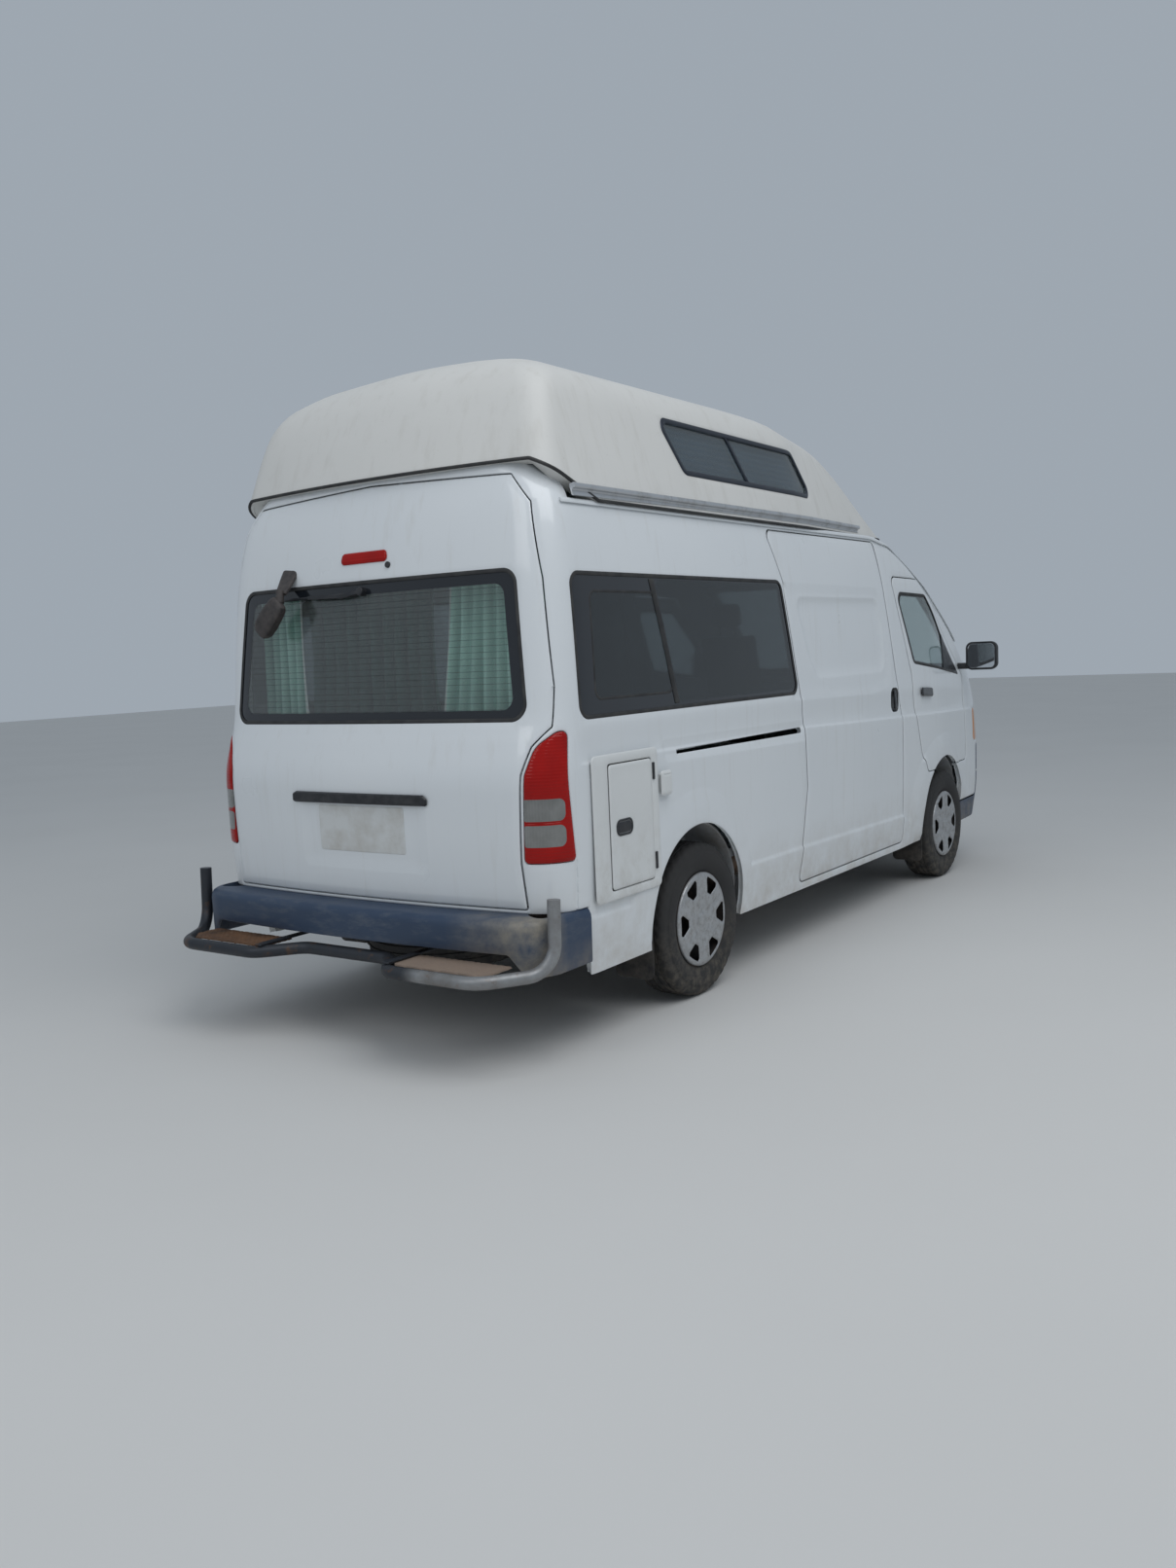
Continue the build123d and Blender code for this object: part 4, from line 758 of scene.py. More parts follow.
def sliding_relief(p):
    """The side's pressed lines, and the handle's cup: a step of 17 mm over a width of 12 mm."""
    return side_relief(p) - 0.017 * ease(to_edge(p[:, 1:], CUP), 0, 0.012)


cup = from_side(CUP)
door_loop = inset(from_side(SLIDING_DOOR), PANEL_GAP)
points, faces, flat = pressed(door_loop, [], body_at, PANEL_SPACING, PANEL_DEPTH,
                              side_lines(1) + [(cup, (-0.012, -0.008, -0.004))], sliding_relief, lines=[cup])
dark = inside(flat[faces].mean(1), cup) & (faces.max(1) < len(points) // 2)
bar = oblong((-0.948, -0.918), (1.112, 1.228), 0.013, 0.004)
bar_points, bar_faces, _ = pressed(from_side(bar), [], body_at, 0.008, 0.014, lift=-0.001, roll=0.005)
points, faces, _ = merged((points, faces), (bar_points, bar_faces))
points, faces, dark = both_sides(points, faces, np.concatenate([dark, np.ones(len(bar_faces), bool)]))
finished("sliding_door_skins", points, faces, [paint.mat, gloss_black.mat], "van", "white_paint",
         ["sliding_doors"], face_mats=dark)

# Cab doors: steel panels in white paint, hung at their front edge, each with a window hole and a black pull
# handle. One net on the side's form makes the left door, and its mirror image is the right one.
door_loop = inset(from_side(FRONT_DOOR), PANEL_GAP)
window = from_side(DOOR_WINDOW)
grip = from_side(rounded([(-1.508, 1.156), (-1.328, 1.168), (-1.328, 1.222), (-1.508, 1.212)], 0.014, 0.006))
arch = from_side(circle(FRONT_ARCH, 0.404))
points, faces, _ = pressed(door_loop, [window, arch], body_at, PANEL_SPACING, PANEL_DEPTH, side_lines(1),
                           side_relief)
grip_mesh = pressed(grip, [], body_at, 0.01, 0.022, lift=0.016, roll=0.007)
points, faces, which = merged((points, faces), grip_mesh[:2])
for side, mesh in hands(points, faces):
    finished(f"cab_door_skin_{side}", *mesh, [paint.mat, gloss_black.mat], f"door_{side}", "white_paint",
             [f"front_door_{side}"], face_mats=which)

# Hatch: one tall steel panel in white paint with a sunk place for the plate, hung under the roof's rear edge.
# It is a net on the smooth tail, cut for the glass, with its field and crease pressed in.
PLATE_FIELD = oblong((-0.355, 0.335), (0.69, 0.985), 0.03)


def hatch_relief(p):
    """Height over the smooth tail: a step of 7 mm down into the plate's field, and a soft crease under the
    glass."""
    fold = 0.004 * ease(p[:, 2], 1.245, 1.225) * ease(np.abs(p[:, 0]), 0.86, 0.8)
    return fold - 0.007 * ease(to_edge(p[:, ::2], PLATE_FIELD), 0, 0.016)


hatch_loop = inset(from_behind(HATCH), PANEL_GAP)
hatch_window = from_behind(HATCH_WINDOW)
points, faces, _ = pressed(hatch_loop, [hatch_window], body_at, PANEL_SPACING, PANEL_DEPTH,
                           [(from_behind(PLATE_FIELD), (-0.018, -0.012, -0.006, 0.001))], hatch_relief)
finished("hatch_skin", points, faces, [paint.mat], "hatch", "white_paint", ["hatch_panel"])

# Window glass: panes of tinted safety glass, printed black along their edges and held by black rubber strips.
# A pane is a net on the form, 3.5 mm under the sheet; its strip is another one over the window's edge.
tint = Shade("tinted_glass", roughness=0.03, Transmission_Weight=0.92, IOR=1.48)
tint.clouded((0.3, 0.36, 0.38), (0.34, 0.4, 0.42), 2.0)
hatch_tint = Shade("hatch_glass_tint", roughness=0.03, Transmission_Weight=0.95, IOR=1.45,
                   Specular_IOR_Level=0.25)
wire = hatch_tint.ramp(hatch_tint.maths("PINGPONG", hatch_tint.axis("Z"), 0.012), 0.0014, 0.0009)
clear = hatch_tint.mix(hatch_tint.noise(2.0), (0.8, 0.86, 0.85), (0.84, 0.9, 0.89))
hatch_tint.colour(hatch_tint.over(clear, wire, 0.5, (0.2, 0.16, 0.12)))
cab_tint = Shade("cab_glass", roughness=0.03, Transmission_Weight=0.95, IOR=1.45)
cab_tint.clouded((0.66, 0.74, 0.73), (0.7, 0.78, 0.77), 2.0)
dark_tint = Shade("dark_glass", roughness=0.03, Transmission_Weight=0.85, IOR=1.5)
dark_tint.clouded((0.1, 0.12, 0.13), (0.13, 0.15, 0.16), 2.0)
rubber = Shade("black_rubber", roughness=0.65)
rubber.clouded((0.018, 0.018, 0.019), (0.05, 0.049, 0.047), 18.0, 6.0, 0.5, 0.35, 0.8)
black_print = Shade("black_print", roughness=0.1, Coat_Weight=0.8, Specular_IOR_Level=0.2)
black_print.clouded((0.01, 0.012, 0.016), (0.016, 0.019, 0.024), 3.0)
GLASS_DEPTH = 0.005


def pane(loop, border_loops, at, spacing=0.05):
    """A pane 3.5 mm under the form: material 0 inside the border loops, 1 (black print) outside them."""
    points, faces, flat = pressed(inset(loop, 0.001), [], at, spacing, GLASS_DEPTH, lift=-0.0035, roll=0.0005,
                                  lines=border_loops)
    middle = flat[faces].mean(1)
    clear = np.zeros(len(faces), bool)
    for border in border_loops:
        clear |= inside(middle, border)
    return points, faces, ~clear


def gasket(loop, at, wide=0.01, proud=0.0015):
    """A rubber strip over a window's edge: wide metres each side of the loop, proud of the sheet."""
    return pressed(inset(loop, -wide * 0.6), [inset(loop, wide)], at, 0.02, 0.006, lift=proud, roll=0.002)[:2]


side_loop = from_side(SIDE_WINDOW)
fixed_pane = from_side(rounded([(0.372, 1.296), (1.482, 1.296), (1.612, 1.804), (0.478, 1.804)], 0.03))
slide_pane = from_side(rounded([(1.53, 1.345), (2.095, 1.345), (2.08, 1.745), (1.628, 1.745)], 0.03))
points, faces, printed = pane(side_loop, [fixed_pane, slide_pane], body_at)
points, faces, printed = both_sides(points, faces, printed)
finished("side_panes", points, faces, [dark_tint.mat, black_print.mat], "van", "window_glass", ["side_windows"],
         face_mats=printed)
divider = from_side(rounded([(1.486, 1.29), (1.522, 1.29), (1.655, 1.806), (1.619, 1.806)], 0.004))
slide_edge = inset(slide_pane, -0.012)
trims = [gasket(side_loop, body_at), pressed(divider, [], body_at, 0.02, 0.006, lift=0.0012)[:2],
         pressed(slide_edge, [slide_pane], body_at, 0.02, 0.004, lift=-0.001)[:2]]
finished("side_window_rubber", *both_sides(*merged(*trims))[:2], [rubber.mat], "van", None)

inner = from_behind(rounded([(-0.742, 1.318), (0.742, 1.318), (0.69, 1.79), (-0.69, 1.79)], 0.045))
points, faces, printed = pane(hatch_window, [inner], body_at)
finished("hatch_pane", points, faces, [hatch_tint.mat, black_print.mat], "hatch", "window_glass",
         ["hatch_glass"], face_mats=printed)
finished("hatch_window_rubber", *gasket(hatch_window, body_at), [rubber.mat], "hatch", None)

inner = from_side(rounded([(-1.075, 1.768), (-1.515, 1.758), (-2.06, 1.3), (-1.278, 1.385)], 0.035))
points, faces, printed = pane(window, [inner], body_at)
seals = hands(*gasket(window, body_at, 0.012))
sail = from_side(rounded([(-2.15, 1.268), (-1.79, 1.312), (-1.8, 1.545), (-2.115, 1.3)], 0.006))
for (side, mesh), (_, seal) in zip(hands(points, faces), seals):
    finished(f"cab_door_pane_{side}", *mesh, [cab_tint.mat, black_print.mat], f"door_{side}", "window_glass",
             [f"door_glass_{side}"], face_mats=printed)
    finished(f"cab_door_rubber_{side}", *seal, [rubber.mat], f"door_{side}", None)

screen = from_ahead(WINDSCREEN)
inner = from_ahead(rounded([(-0.735, 1.345), (0.735, 1.345), (0.68, 1.9), (-0.68, 1.9)], 0.05))
points, faces, printed = pane(screen, [inner], nose_at)
finished("windscreen_pane", points, faces, [cab_tint.mat, black_print.mat], "van", "window_glass",
         ["windscreen"], face_mats=printed)
finished("windscreen_rubber", *gasket(screen, nose_at, 0.012), [rubber.mat], "van", None)

# Bonnet lid: a short steel panel in white paint under the windscreen, hinged at its upper edge.
# It is one plain net on the nose's form.
points, faces, _ = pressed(inset(from_ahead(BONNET), PANEL_GAP), [], nose_at, PANEL_SPACING, PANEL_DEPTH)
finished("bonnet_skin", points, faces, [paint.mat], "bonnet", "white_paint", ["bonnet_lid"])


# High roof: one glass-fibre moulding in cream gelcoat, bonded over the cut steel roof, with a crowned top.
# Its form is a stack of plan outlines like the body's, closed at the crown; p is metres up the stack.
ROOF_ROWS = np.array([
    # z, half width, half width at nose, nose y, nose bow, nose corner r, tail y, tail bow, tail corner r
    (2.098, 0.875, 0.800, -1.500, 0.330, 0.140, 2.345, 0.060, 0.110),
    (2.240, 0.838, 0.765, -1.290, 0.320, 0.140, 2.322, 0.060, 0.110),
    (2.420, 0.795, 0.725, -1.020, 0.300, 0.140, 2.262, 0.050, 0.100),
    (2.540, 0.765, 0.700, -0.800, 0.320, 0.140, 2.210, 0.040, 0.100),
    (2.620, 0.715, 0.645, -0.560, 0.350, 0.160, 2.155, 0.040, 0.110),
    (2.684, 0.570, 0.500, -0.210, 0.300, 0.170, 2.075, 0.035, 0.130),
    (2.724, 0.360, 0.310, 0.260, 0.200, 0.150, 1.975, 0.030, 0.130),
    (2.738, 0.180, 0.150, 0.750, 0.080, 0.080, 1.860, 0.020, 0.080),
    (2.742, 0.0, 0.0, 1.45, 0.0, 0.0, 1.45, 0.0, 0.0),
])
gaps = np.diff(ROOF_ROWS[:, [0, 1, 6]], axis=0)
ROOF_PLACES = np.concatenate([[0], np.cumsum(np.sqrt((gaps ** 2).sum(1)))])
ROOF = form_table(ROOF_ROWS, ROOF_PLACES, 0.1, 121, 2.5)

# how far round the moulding a search for a place goes, in metres
R_FAR = 6.08


def roof_at(s, p):
    """The moulding's point at s metres round from the tail's middle, + to the left, and p metres up the
    stack."""
    found = read_table(ROOF, np.abs(s) / STEP, p / ROOF_PLACES[-1] * (len(ROOF) - 1))
    return found * np.stack([np.sign(s), np.ones_like(s), np.ones_like(s)], -1)


def roof_side(loop):
    """Turns (y, z) points of the left side into the roof's (s, p)."""
    p = np.interp(loop[:, 1], ROOF_ROWS[:, 0], ROOF_PLACES)
    return np.column_stack([s_where(lambda point: point[:, 1] < loop[:, 0], p, 0, R_FAR, roof_at), p])


def roof_back(loop):
    """Turns (x, z) points seen from behind into the roof's (s, p)."""
    x, p = loop[:, 0], np.interp(loop[:, 1], ROOF_ROWS[:, 0], ROOF_PLACES)
    s = s_where(lambda point: point[:, 0] > np.abs(x), p, 0, 1.3, roof_at)
    return np.column_stack([s * np.sign(x), p])


gelcoat = Shade("roof_gelcoat", roughness=0.5)
mottle = gelcoat.noise(2.2, 6.0, 0.6)
tone = gelcoat.mix(mottle, (0.66, 0.65, 0.62), (0.72, 0.71, 0.68))
runs = gelcoat.ramp(gelcoat.noise(1.0, 5.0, 0.6, gelcoat.stretched((16, 16, 1.2))), 0.52, 0.8)
tone = gelcoat.over(tone, runs, 0.25, (0.4, 0.37, 0.31))
specks = gelcoat.ramp(gelcoat.noise(70.0, 3.0), 0.7, 0.78)
gelcoat.colour(gelcoat.over(tone, specks, 0.3, (0.33, 0.3, 0.25)))
gelcoat.rough(mottle, 0.42, 0.62)
gelcoat.bump(gelcoat.noise(55.0, 3.0), 0.0006, 0.5)

ROOF_WINDOW = rounded([(-0.11, 2.262), (1.215, 2.27), (1.355, 2.505), (0.045, 2.49)], 0.045)
ROOF_PANE = rounded([(-0.076, 2.281), (1.203, 2.289), (1.32, 2.486), (0.055, 2.472)], 0.028)
roof_window = roof_side(ROOF_WINDOW)
p_top = ROOF_PLACES[-1]
r_end = (ROOF.shape[1] - 1) * STEP
foot = roof_back(np.array([(-0.886, 2.0985), (-0.77, 2.244), (0.77, 2.244), (0.886, 2.0985)]))
roof_edge = np.array([(-r_end, 0), (foot[0, 0], 0), *foot[1:3], (foot[3, 0], 0), (r_end, 0), (r_end, p_top),
                      (-r_end, p_top)])
roof_edge = rounded(roof_edge, (0, 0.04, 0.04, 0.04, 0.04, 0, 0, 0), 0.02)
points, faces, _ = pressed(roof_edge, [roof_window, flipped(roof_window)], roof_at, 0.04, 0.02,
                           rolled=[roof_window, flipped(roof_window)], roll=0.004)
finished("high_roof", points, faces, [gelcoat.mat], "van", "roof_moulding", ["hi_top"])

# Roof windows: a pair of long tilting panes on each side in a dark anodised frame, with pale blinds drawn
# behind. Frame, bar, panes and blinds are nets on the moulding's form at their own heights over it.
anodised = Shade("dark_anodised", roughness=0.38, metallic=0.75)
anodised.clouded((0.03, 0.036, 0.05), (0.06, 0.068, 0.085), 9.0)
roof_pane = roof_side(ROOF_PANE)
bar = roof_side(rounded([(0.6, 2.276), (0.63, 2.276), (0.752, 2.486), (0.722, 2.486)], 0.003, 0.03))
frame_mesh = pressed(inset(roof_window, -0.006), [roof_pane], roof_at, 0.02, 0.016, lift=0.0045, roll=0.004)[:2]
bar_mesh = pressed(bar, [], roof_at, 0.02, 0.012, lift=0.002, roll=0.003)[:2]
points, faces, _ = merged(frame_mesh, bar_mesh)
finished("roof_window_surrounds", *both_sides(points, faces)[:2], [anodised.mat], "van", "frame_dark",
         ["roof_window_frames"])
points, faces, _ = pressed(inset(roof_pane, -0.003), [], roof_at, 0.05, GLASS_DEPTH, lift=-0.004, roll=0.0005)
finished("roof_panes", *both_sides(points, faces)[:2], [tint.mat], "van", "window_glass", ["roof_windows"])

blind = Shade("blind_film", roughness=0.35, metallic=0.25)
pleats_and_shade = blind.waves(11.0, "Z", 0.6)
# Painted shade: the blue darkens and lightens with the same wave that bumps the pleats.
blind.colour(blind.mix(pleats_and_shade, (0.34, 0.47, 0.66), (0.46, 0.57, 0.72)))
blind.bump(pleats_and_shade, 0.003, 0.8)
blinds = []
for corners in ([(-0.082, 2.276), (0.612, 2.28), (0.728, 2.486), (0.05, 2.478)],
                [(0.618, 2.28), (1.206, 2.284), (1.322, 2.49), (0.736, 2.486)]):
    blinds.append(pressed(roof_side(rounded(corners, 0.02)), [], roof_at, 0.03, 0.0015, lift=-0.03)[:2])
finished("roof_blinds", *both_sides(*merged(*blinds))[:2], [blind.mat], "van", None)


# Roof edge: a black sealing bead under the moulding, pressed drip rails, and an aluminium awning rail on the
# right. Each is one profile carried along a path on the form. A thin ledge of the moulding closes it under the
# bead.
def swept(path, out, up, profile, closed=False):
    """Mesh of a closed (out, up) profile carried along a path: point = path + profile's out * out + its up *
    up. Profile, out and up may change along the path. Ends get one face each unless the path is closed."""
    count, profile = len(path), np.asarray(profile, float)
    out, up = (np.broadcast_to(np.asarray(way, float), (count, 3)) for way in (out, up))
    if profile.ndim == 2:
        profile = np.broadcast_to(profile, (count, *profile.shape))
    wide = profile.shape[1]
    points = path[:, None] + profile[..., :1] * out[:, None] + profile[..., 1:] * up[:, None]
    rows = np.arange(count if closed else count - 1)
    i, j = np.meshgrid(rows, np.arange(wide), indexing="ij")
    ahead, beyond = (i + 1) % count, (j + 1) % wide
    quads = np.stack([i * wide + j, i * wide + beyond, ahead * wide + beyond, ahead * wide + j], -1)
    quads = quads.reshape(-1, 4)
    faces = [tuple(q) for q in quads.tolist()]
    if not closed:
        faces += [tuple(range(wide))[::-1], tuple(range((count - 1) * wide, count * wide))]
    points = points.reshape(-1, 3)
    middle = points[quads].mean(1) - np.repeat(path.reshape(-1, 3)[rows], wide, 0)
    a, b, c = (points[quads[:, k]] for k in (0, 1, 2))
    if np.sum(np.cross(b - a, c - a) * middle) < 0:
        faces = [face[::-1] for face in faces]
    return points, faces


def unit(vectors):
    """Each vector divided by its length."""
    return vectors / (np.linalg.norm(vectors, axis=-1, keepdims=True) + 1e-12)


def outward(at, s, p):
    """Unit normal of a form at (s, p), from two short steps across it."""
    step = 0.004
    across = at(s + step, p) - at(s - step, p)
    upward = at(s, p + step) - at(s, p - step)
    return unit(np.cross(upward, across))


def on_form(at, loop, lift=0.0):
    """Path, outward and sideways vectors along (s, p) points of a form, raised by lift."""
    out = outward(at, loop[:, 0], loop[:, 1])
    path = at(loop[:, 0], loop[:, 1]) + out * lift
    along = unit(np.gradient(path, axis=0))
    return path, out, unit(np.cross(out, along))


def bent(points, radius, step):
    """Open line through the points, in two or three axes, with each inner corner cut by an arc and points at
    most step apart."""
    points = np.asarray(points, float)
    radius = np.broadcast_to(radius, len(points) - 2)
    line = [points[:1]]
    for before, corner, after, r in zip(points[:-2], points[1:-1], points[2:], radius):
        a, b = unit(before - corner), unit(after - corner)
        half = math.acos(np.clip(a @ b, -1, 1)) / 2
        room = 0.49 * min(np.linalg.norm(before - corner), np.linalg.norm(after - corner))
        reach = min(r / math.tan(half), room)
        r = reach * math.tan(half)
        centre = corner + unit(a + b) * r / math.sin(half)
        share = np.linspace(0, 1, max(3, int(r * (math.pi - 2 * half) / step) + 2))[:, None]
        arc = (corner + a * reach) * (1 - share) + (corner + b * reach) * share - centre
        line.append(centre + unit(arc) * r)
    line = np.concatenate(line + [points[-1:]])
    length = np.concatenate([[0], np.cumsum(np.linalg.norm(np.diff(line, axis=0), axis=1))])
    even = np.linspace(0, length[-1], int(length[-1] / step) + 2)
    return np.column_stack([np.interp(even, length, line[:, k]) for k in range(line.shape[1])])


def disc(radius, count=12, flat=1.0):
    """Round profile, squeezed sideways by flat."""
    turn = np.linspace(0, 2 * math.pi, count + 1)[:-1]
    return np.column_stack([radius * np.cos(turn), radius * flat * np.sin(turn)])


def joined_up(*meshes):
    """Several (points, face list) meshes as one."""
    points, faces = [], []
    start = 0
    for mesh_points, mesh_faces in meshes:
        points.append(mesh_points)
        faces += [tuple(int(k) + start for k in face) for face in mesh_faces]
        start += len(mesh_points)
    return np.concatenate(points), faces


rear_run = roof_edge[(roof_edge[:, 1] < 0.4) & (np.abs(roof_edge[:, 0]) < 6.0)]
rear_run = rear_run[np.argsort(rear_run[:, 0], kind="stable")]
side_s = np.concatenate([np.arange(-6.07, rear_run[0, 0], 0.05), np.arange(rear_run[-1, 0] + 0.05, 6.07, 0.05)])
bead_loop = np.concatenate([np.column_stack([side_s[side_s < 0], 0 * side_s[side_s < 0]]), rear_run,
                            np.column_stack([side_s[side_s > 0], 0 * side_s[side_s > 0]])])
bead = swept(*on_form(roof_at, bead_loop + (0, 0.002), -0.001), disc(0.007, 10))
finished("roof_bead", *bead, [rubber.mat], "van", None)
flange = swept(*on_form(roof_at, bead_loop + (0, 0.006), -0.014),
               [(0, -0.002), (-0.045, -0.002), (-0.045, 0.002), (0, 0.002)])
finished("roof_flange", *flange, [gelcoat.mat], "van", None)

drip_line = bent([(2.185, 2.087), (-0.76, 2.087), (-1.246, 2.013), (-1.615, 1.893), (-1.855, 1.786),
                  (-2.232, 1.484)], 0.35, 0.03)
DRIP_PROFILE = [(-0.004, -0.01), (0.01, -0.009), (0.0125, -0.004), (0.0125, 0.004), (0.009, 0.01),
                (0.006, 0.004), (0.004, -0.002), (0.0, 0.004), (-0.004, 0.009)]
drip_rail = swept(*on_form(body_at, from_side(drip_line)), DRIP_PROFILE)
finished("drip_rail_pair", *joined_up(drip_rail, mirrored(*drip_rail)), [paint.mat], "van", "white_paint",
         ["drip_rails"])

aluminium = Shade("satin_aluminium", roughness=0.36, metallic=0.9)
drawn = aluminium.noise(1.0, 4.0, 0.6, aluminium.stretched((40, 0.8, 40)))
tone = aluminium.mix(drawn, (0.52, 0.53, 0.55), (0.66, 0.67, 0.68))
grime = aluminium.ramp(aluminium.noise(9.0, 6.0, 0.7), 0.5, 0.78)
aluminium.colour(aluminium.over(tone, grime, 0.6, (0.3, 0.28, 0.25)))
aluminium.rough(grime, 0.3, 0.58)
rails = []
for start, end in ((-0.698, -0.208), (-0.206, 0.604), (0.606, 1.424), (1.426, 2.128)):
    y = np.arange(start, end + 1e-6, (end - start) / 12)
    rail_loop = roof_side(np.column_stack([y, np.full(len(y), 2.129)])) * (-1, 1)
    tall = np.interp(y, [1.2, 2.13], [0.012, 0.022])
    profile = np.array([(-0.002, -0.022), (0.02, -0.022), (0.024, -0.018), (0.024, -0.006), (0.02, -0.002),
                        (0.01, -0.002), (0.008, 0.002), (0.004, 0.004), (0.004, 1.0), (-0.002, 1.0)])
    profile = np.repeat(profile[None], len(y), 0)
    profile[:, -2:, 1] = tall[:, None]
    rails.append(swept(*on_form(roof_at, rail_loop), profile))
finished("awning_rail_bars", *joined_up(*rails), [aluminium.mat], "van", "rail_aluminium", ["awning_rail"])


# Tail lamps: red lenses wrapped round the rear corners, each with two clear windows one above the other.
# One net on the body's form, 4 mm proud, with a groove between the parts.
red_lens = Shade("red_lens", roughness=0.12, Specular_IOR_Level=0.25)
red_lens.clouded((0.24, 0.004, 0.003), (0.46, 0.008, 0.005), 9.0, 3.0)
red_lens.bump(red_lens.waves(26.0, "Z"), 0.0015, 0.35)
clear_lens = Shade("clear_lens", roughness=0.12, metallic=0.5, Coat_Weight=0.8, Coat_Roughness=0.03)
clear_lens.clouded((0.13, 0.13, 0.12), (0.34, 0.34, 0.33), 14.0)
clear_lens.bump(clear_lens.waves(30.0, "X"), 0.0015, 0.5)


def lamp_window(low, high):
    """A clear window of the lamp between two heights, as a loop of (s, z) on the left side."""
    inner = from_behind(np.array([(0.806, low), (0.806, high)]))[:, 0]
    outer = from_side(np.array([(SEAM_Y, low), (SEAM_Y, high)]))[:, 0]
    right = inner + 0.76 * (outer - inner)
    return rounded([(inner[0], low), (right[0], low), (right[1], high), (inner[1], high)],
                   (0.01, 0.026, 0.026, 0.01), 0.008)


windows = [lamp_window(0.812, 0.893), lamp_window(0.908, 0.99)]


def lamp_relief(p):
    """A level step of 2 mm between the lamp's parts."""
    parts = ease(p[:, 2], 0.899, 0.902) - ease(p[:, 2], 0.902, 0.905)
    return -0.002 * parts


points, faces, flat = pressed(inset(TAIL_LAMP, 0.003), [], body_at, 0.012, 0.038, lift=0.0045, roll=0.006,
                              lines=windows, relief=lamp_relief)
middle = flat[faces].mean(1)
clear = inside(middle, windows[0]) | inside(middle, windows[1])
points, faces, clear = both_sides(points, faces, clear)
finished("tail_lamp_pair", points, faces, [red_lens.mat, clear_lens.mat], "van", "lamp_lens", ["tail_lamps"],
         face_mats=clear)

# Hatch fittings: black pull bar, blank plate, high stop lamp, washer jet, and a wiper parked along the glass's
# top.
satin_black = Shade("satin_black", roughness=0.42)
rubbed = satin_black.clouded((0.014, 0.015, 0.018), (0.05, 0.05, 0.052), 24.0, 6.0, 0.65, 0.45, 0.8)
satin_black.rough(rubbed, 0.32, 0.6)
plate_paint = Shade("plate_paint", roughness=0.35)
plate_paint.clouded((0.66, 0.67, 0.66), (0.5, 0.48, 0.44), 11.0, 6.0, 0.6, 0.4, 0.8)


def assembled(*parts):
    """Several (mesh, material number) parts as one mesh, with each face's material number."""
    points, faces = joined_up(*[mesh[:2] for mesh, _ in parts])
    return points, faces, np.repeat([number for _, number in parts], [len(mesh[1]) for mesh, _ in parts])


def on_back(corners, radius, lift, depth, roll, spacing=0.02, relief=None):
    """A plate on the tail: rounded corners as (x, z), lifted off the form."""
    return pressed(from_behind(rounded(corners, radius, 0.008)), [], body_at, spacing, depth, lift=lift,
                   roll=roll, relief=relief)


def plate_relief(p):
    """A pressed rim: 1.5 mm high, 5 mm in from the plate's edge."""
    edge = np.minimum(0.236 - np.abs(p[:, 0] + 0.004), 0.094 - np.abs(p[:, 2] - 0.854))
    return 0.0015 * (ease(edge, 0.01, 0.006) - 0.5)


def knob(middle, axis, radius, length, count=24):
    """A round button: a cylinder along axis with a rounded outer edge."""
    axis = unit(np.asarray(axis, float))
    side = unit(np.cross(axis, (0.31, 0.17, 0.93)))
    steps = np.array([0, 0.86, 0.94, 0.985, 1.0])
    widths = np.array([1, 1, 0.985, 0.93, 0.84])
    path = np.asarray(middle) + axis * length * steps[:, None]
    profile = disc(1.0, count)[None] * (radius * widths)[:, None, None]
    return swept(path, side, np.cross(axis, side), profile)


pull_bar = on_back([(-0.372, 0.957), (0.372, 0.955), (0.372, 0.992), (0.35, 1.0), (-0.355, 1.0),
                    (-0.372, 0.985)], 0.01, 0.0185, 0.024, 0.008, 0.012)
plate = on_back([(-0.24, 0.76), (0.232, 0.76), (0.232, 0.948), (-0.24, 0.948)], 0.01, -0.002, 0.004, 0.001,
                0.02, plate_relief)
stop_lamp = on_back([(-0.131, 1.913), (0.131, 1.913), (0.121, 1.959), (-0.121, 1.959)], 0.017, 0.0065, 0.01,
                    0.004, 0.012)
jet_place, jet_out, _ = on_form(body_at, from_behind(np.array([(-0.133, 1.898), (-0.12, 1.898)])))
jet = knob(jet_place[0] - jet_out[0] * 0.002, jet_out[0], 0.0125, 0.009)
hub_place, hub_out, _ = on_form(body_at, from_behind(np.array([(0.0, 1.8), (0.01, 1.8)])))
hub = knob(hub_place[0] - hub_out[0] * 0.004, hub_out[0], 0.0175, 0.028)
arm_line = bent([(0.0, 1.799), (0.09, 1.786), (0.3, 1.792)], 0.2, 0.01)
ARM_PROFILE = [(-0.004, -0.009), (0.004, -0.007), (0.004, 0.007), (-0.004, 0.009)]
arm = swept(*on_form(body_at, from_behind(arm_line), 0.02), ARM_PROFILE)
blade_line = np.column_stack([np.linspace(0.025, 0.466, 60), np.linspace(1.794, 1.791, 60)])
BLADE_PROFILE = [(-0.012, -0.0012), (-0.002, -0.006), (0.006, -0.005), (0.008, 0.0), (0.006, 0.005),
                 (-0.002, 0.006), (-0.012, 0.0012)]
blade = swept(*on_form(body_at, from_behind(blade_line), 0.01), BLADE_PROFILE)
points, faces, numbers = assembled((pull_bar, 0), (plate, 1), (stop_lamp, 2), (jet, 0), (hub, 0), (arm, 0),
                                   (blade, 0))
finished("hatch_details", points, faces, [satin_black.mat, plate_paint.mat, red_lens.mat], "hatch",
         "black_plastic", ["hatch_fittings"], face_mats=numbers)

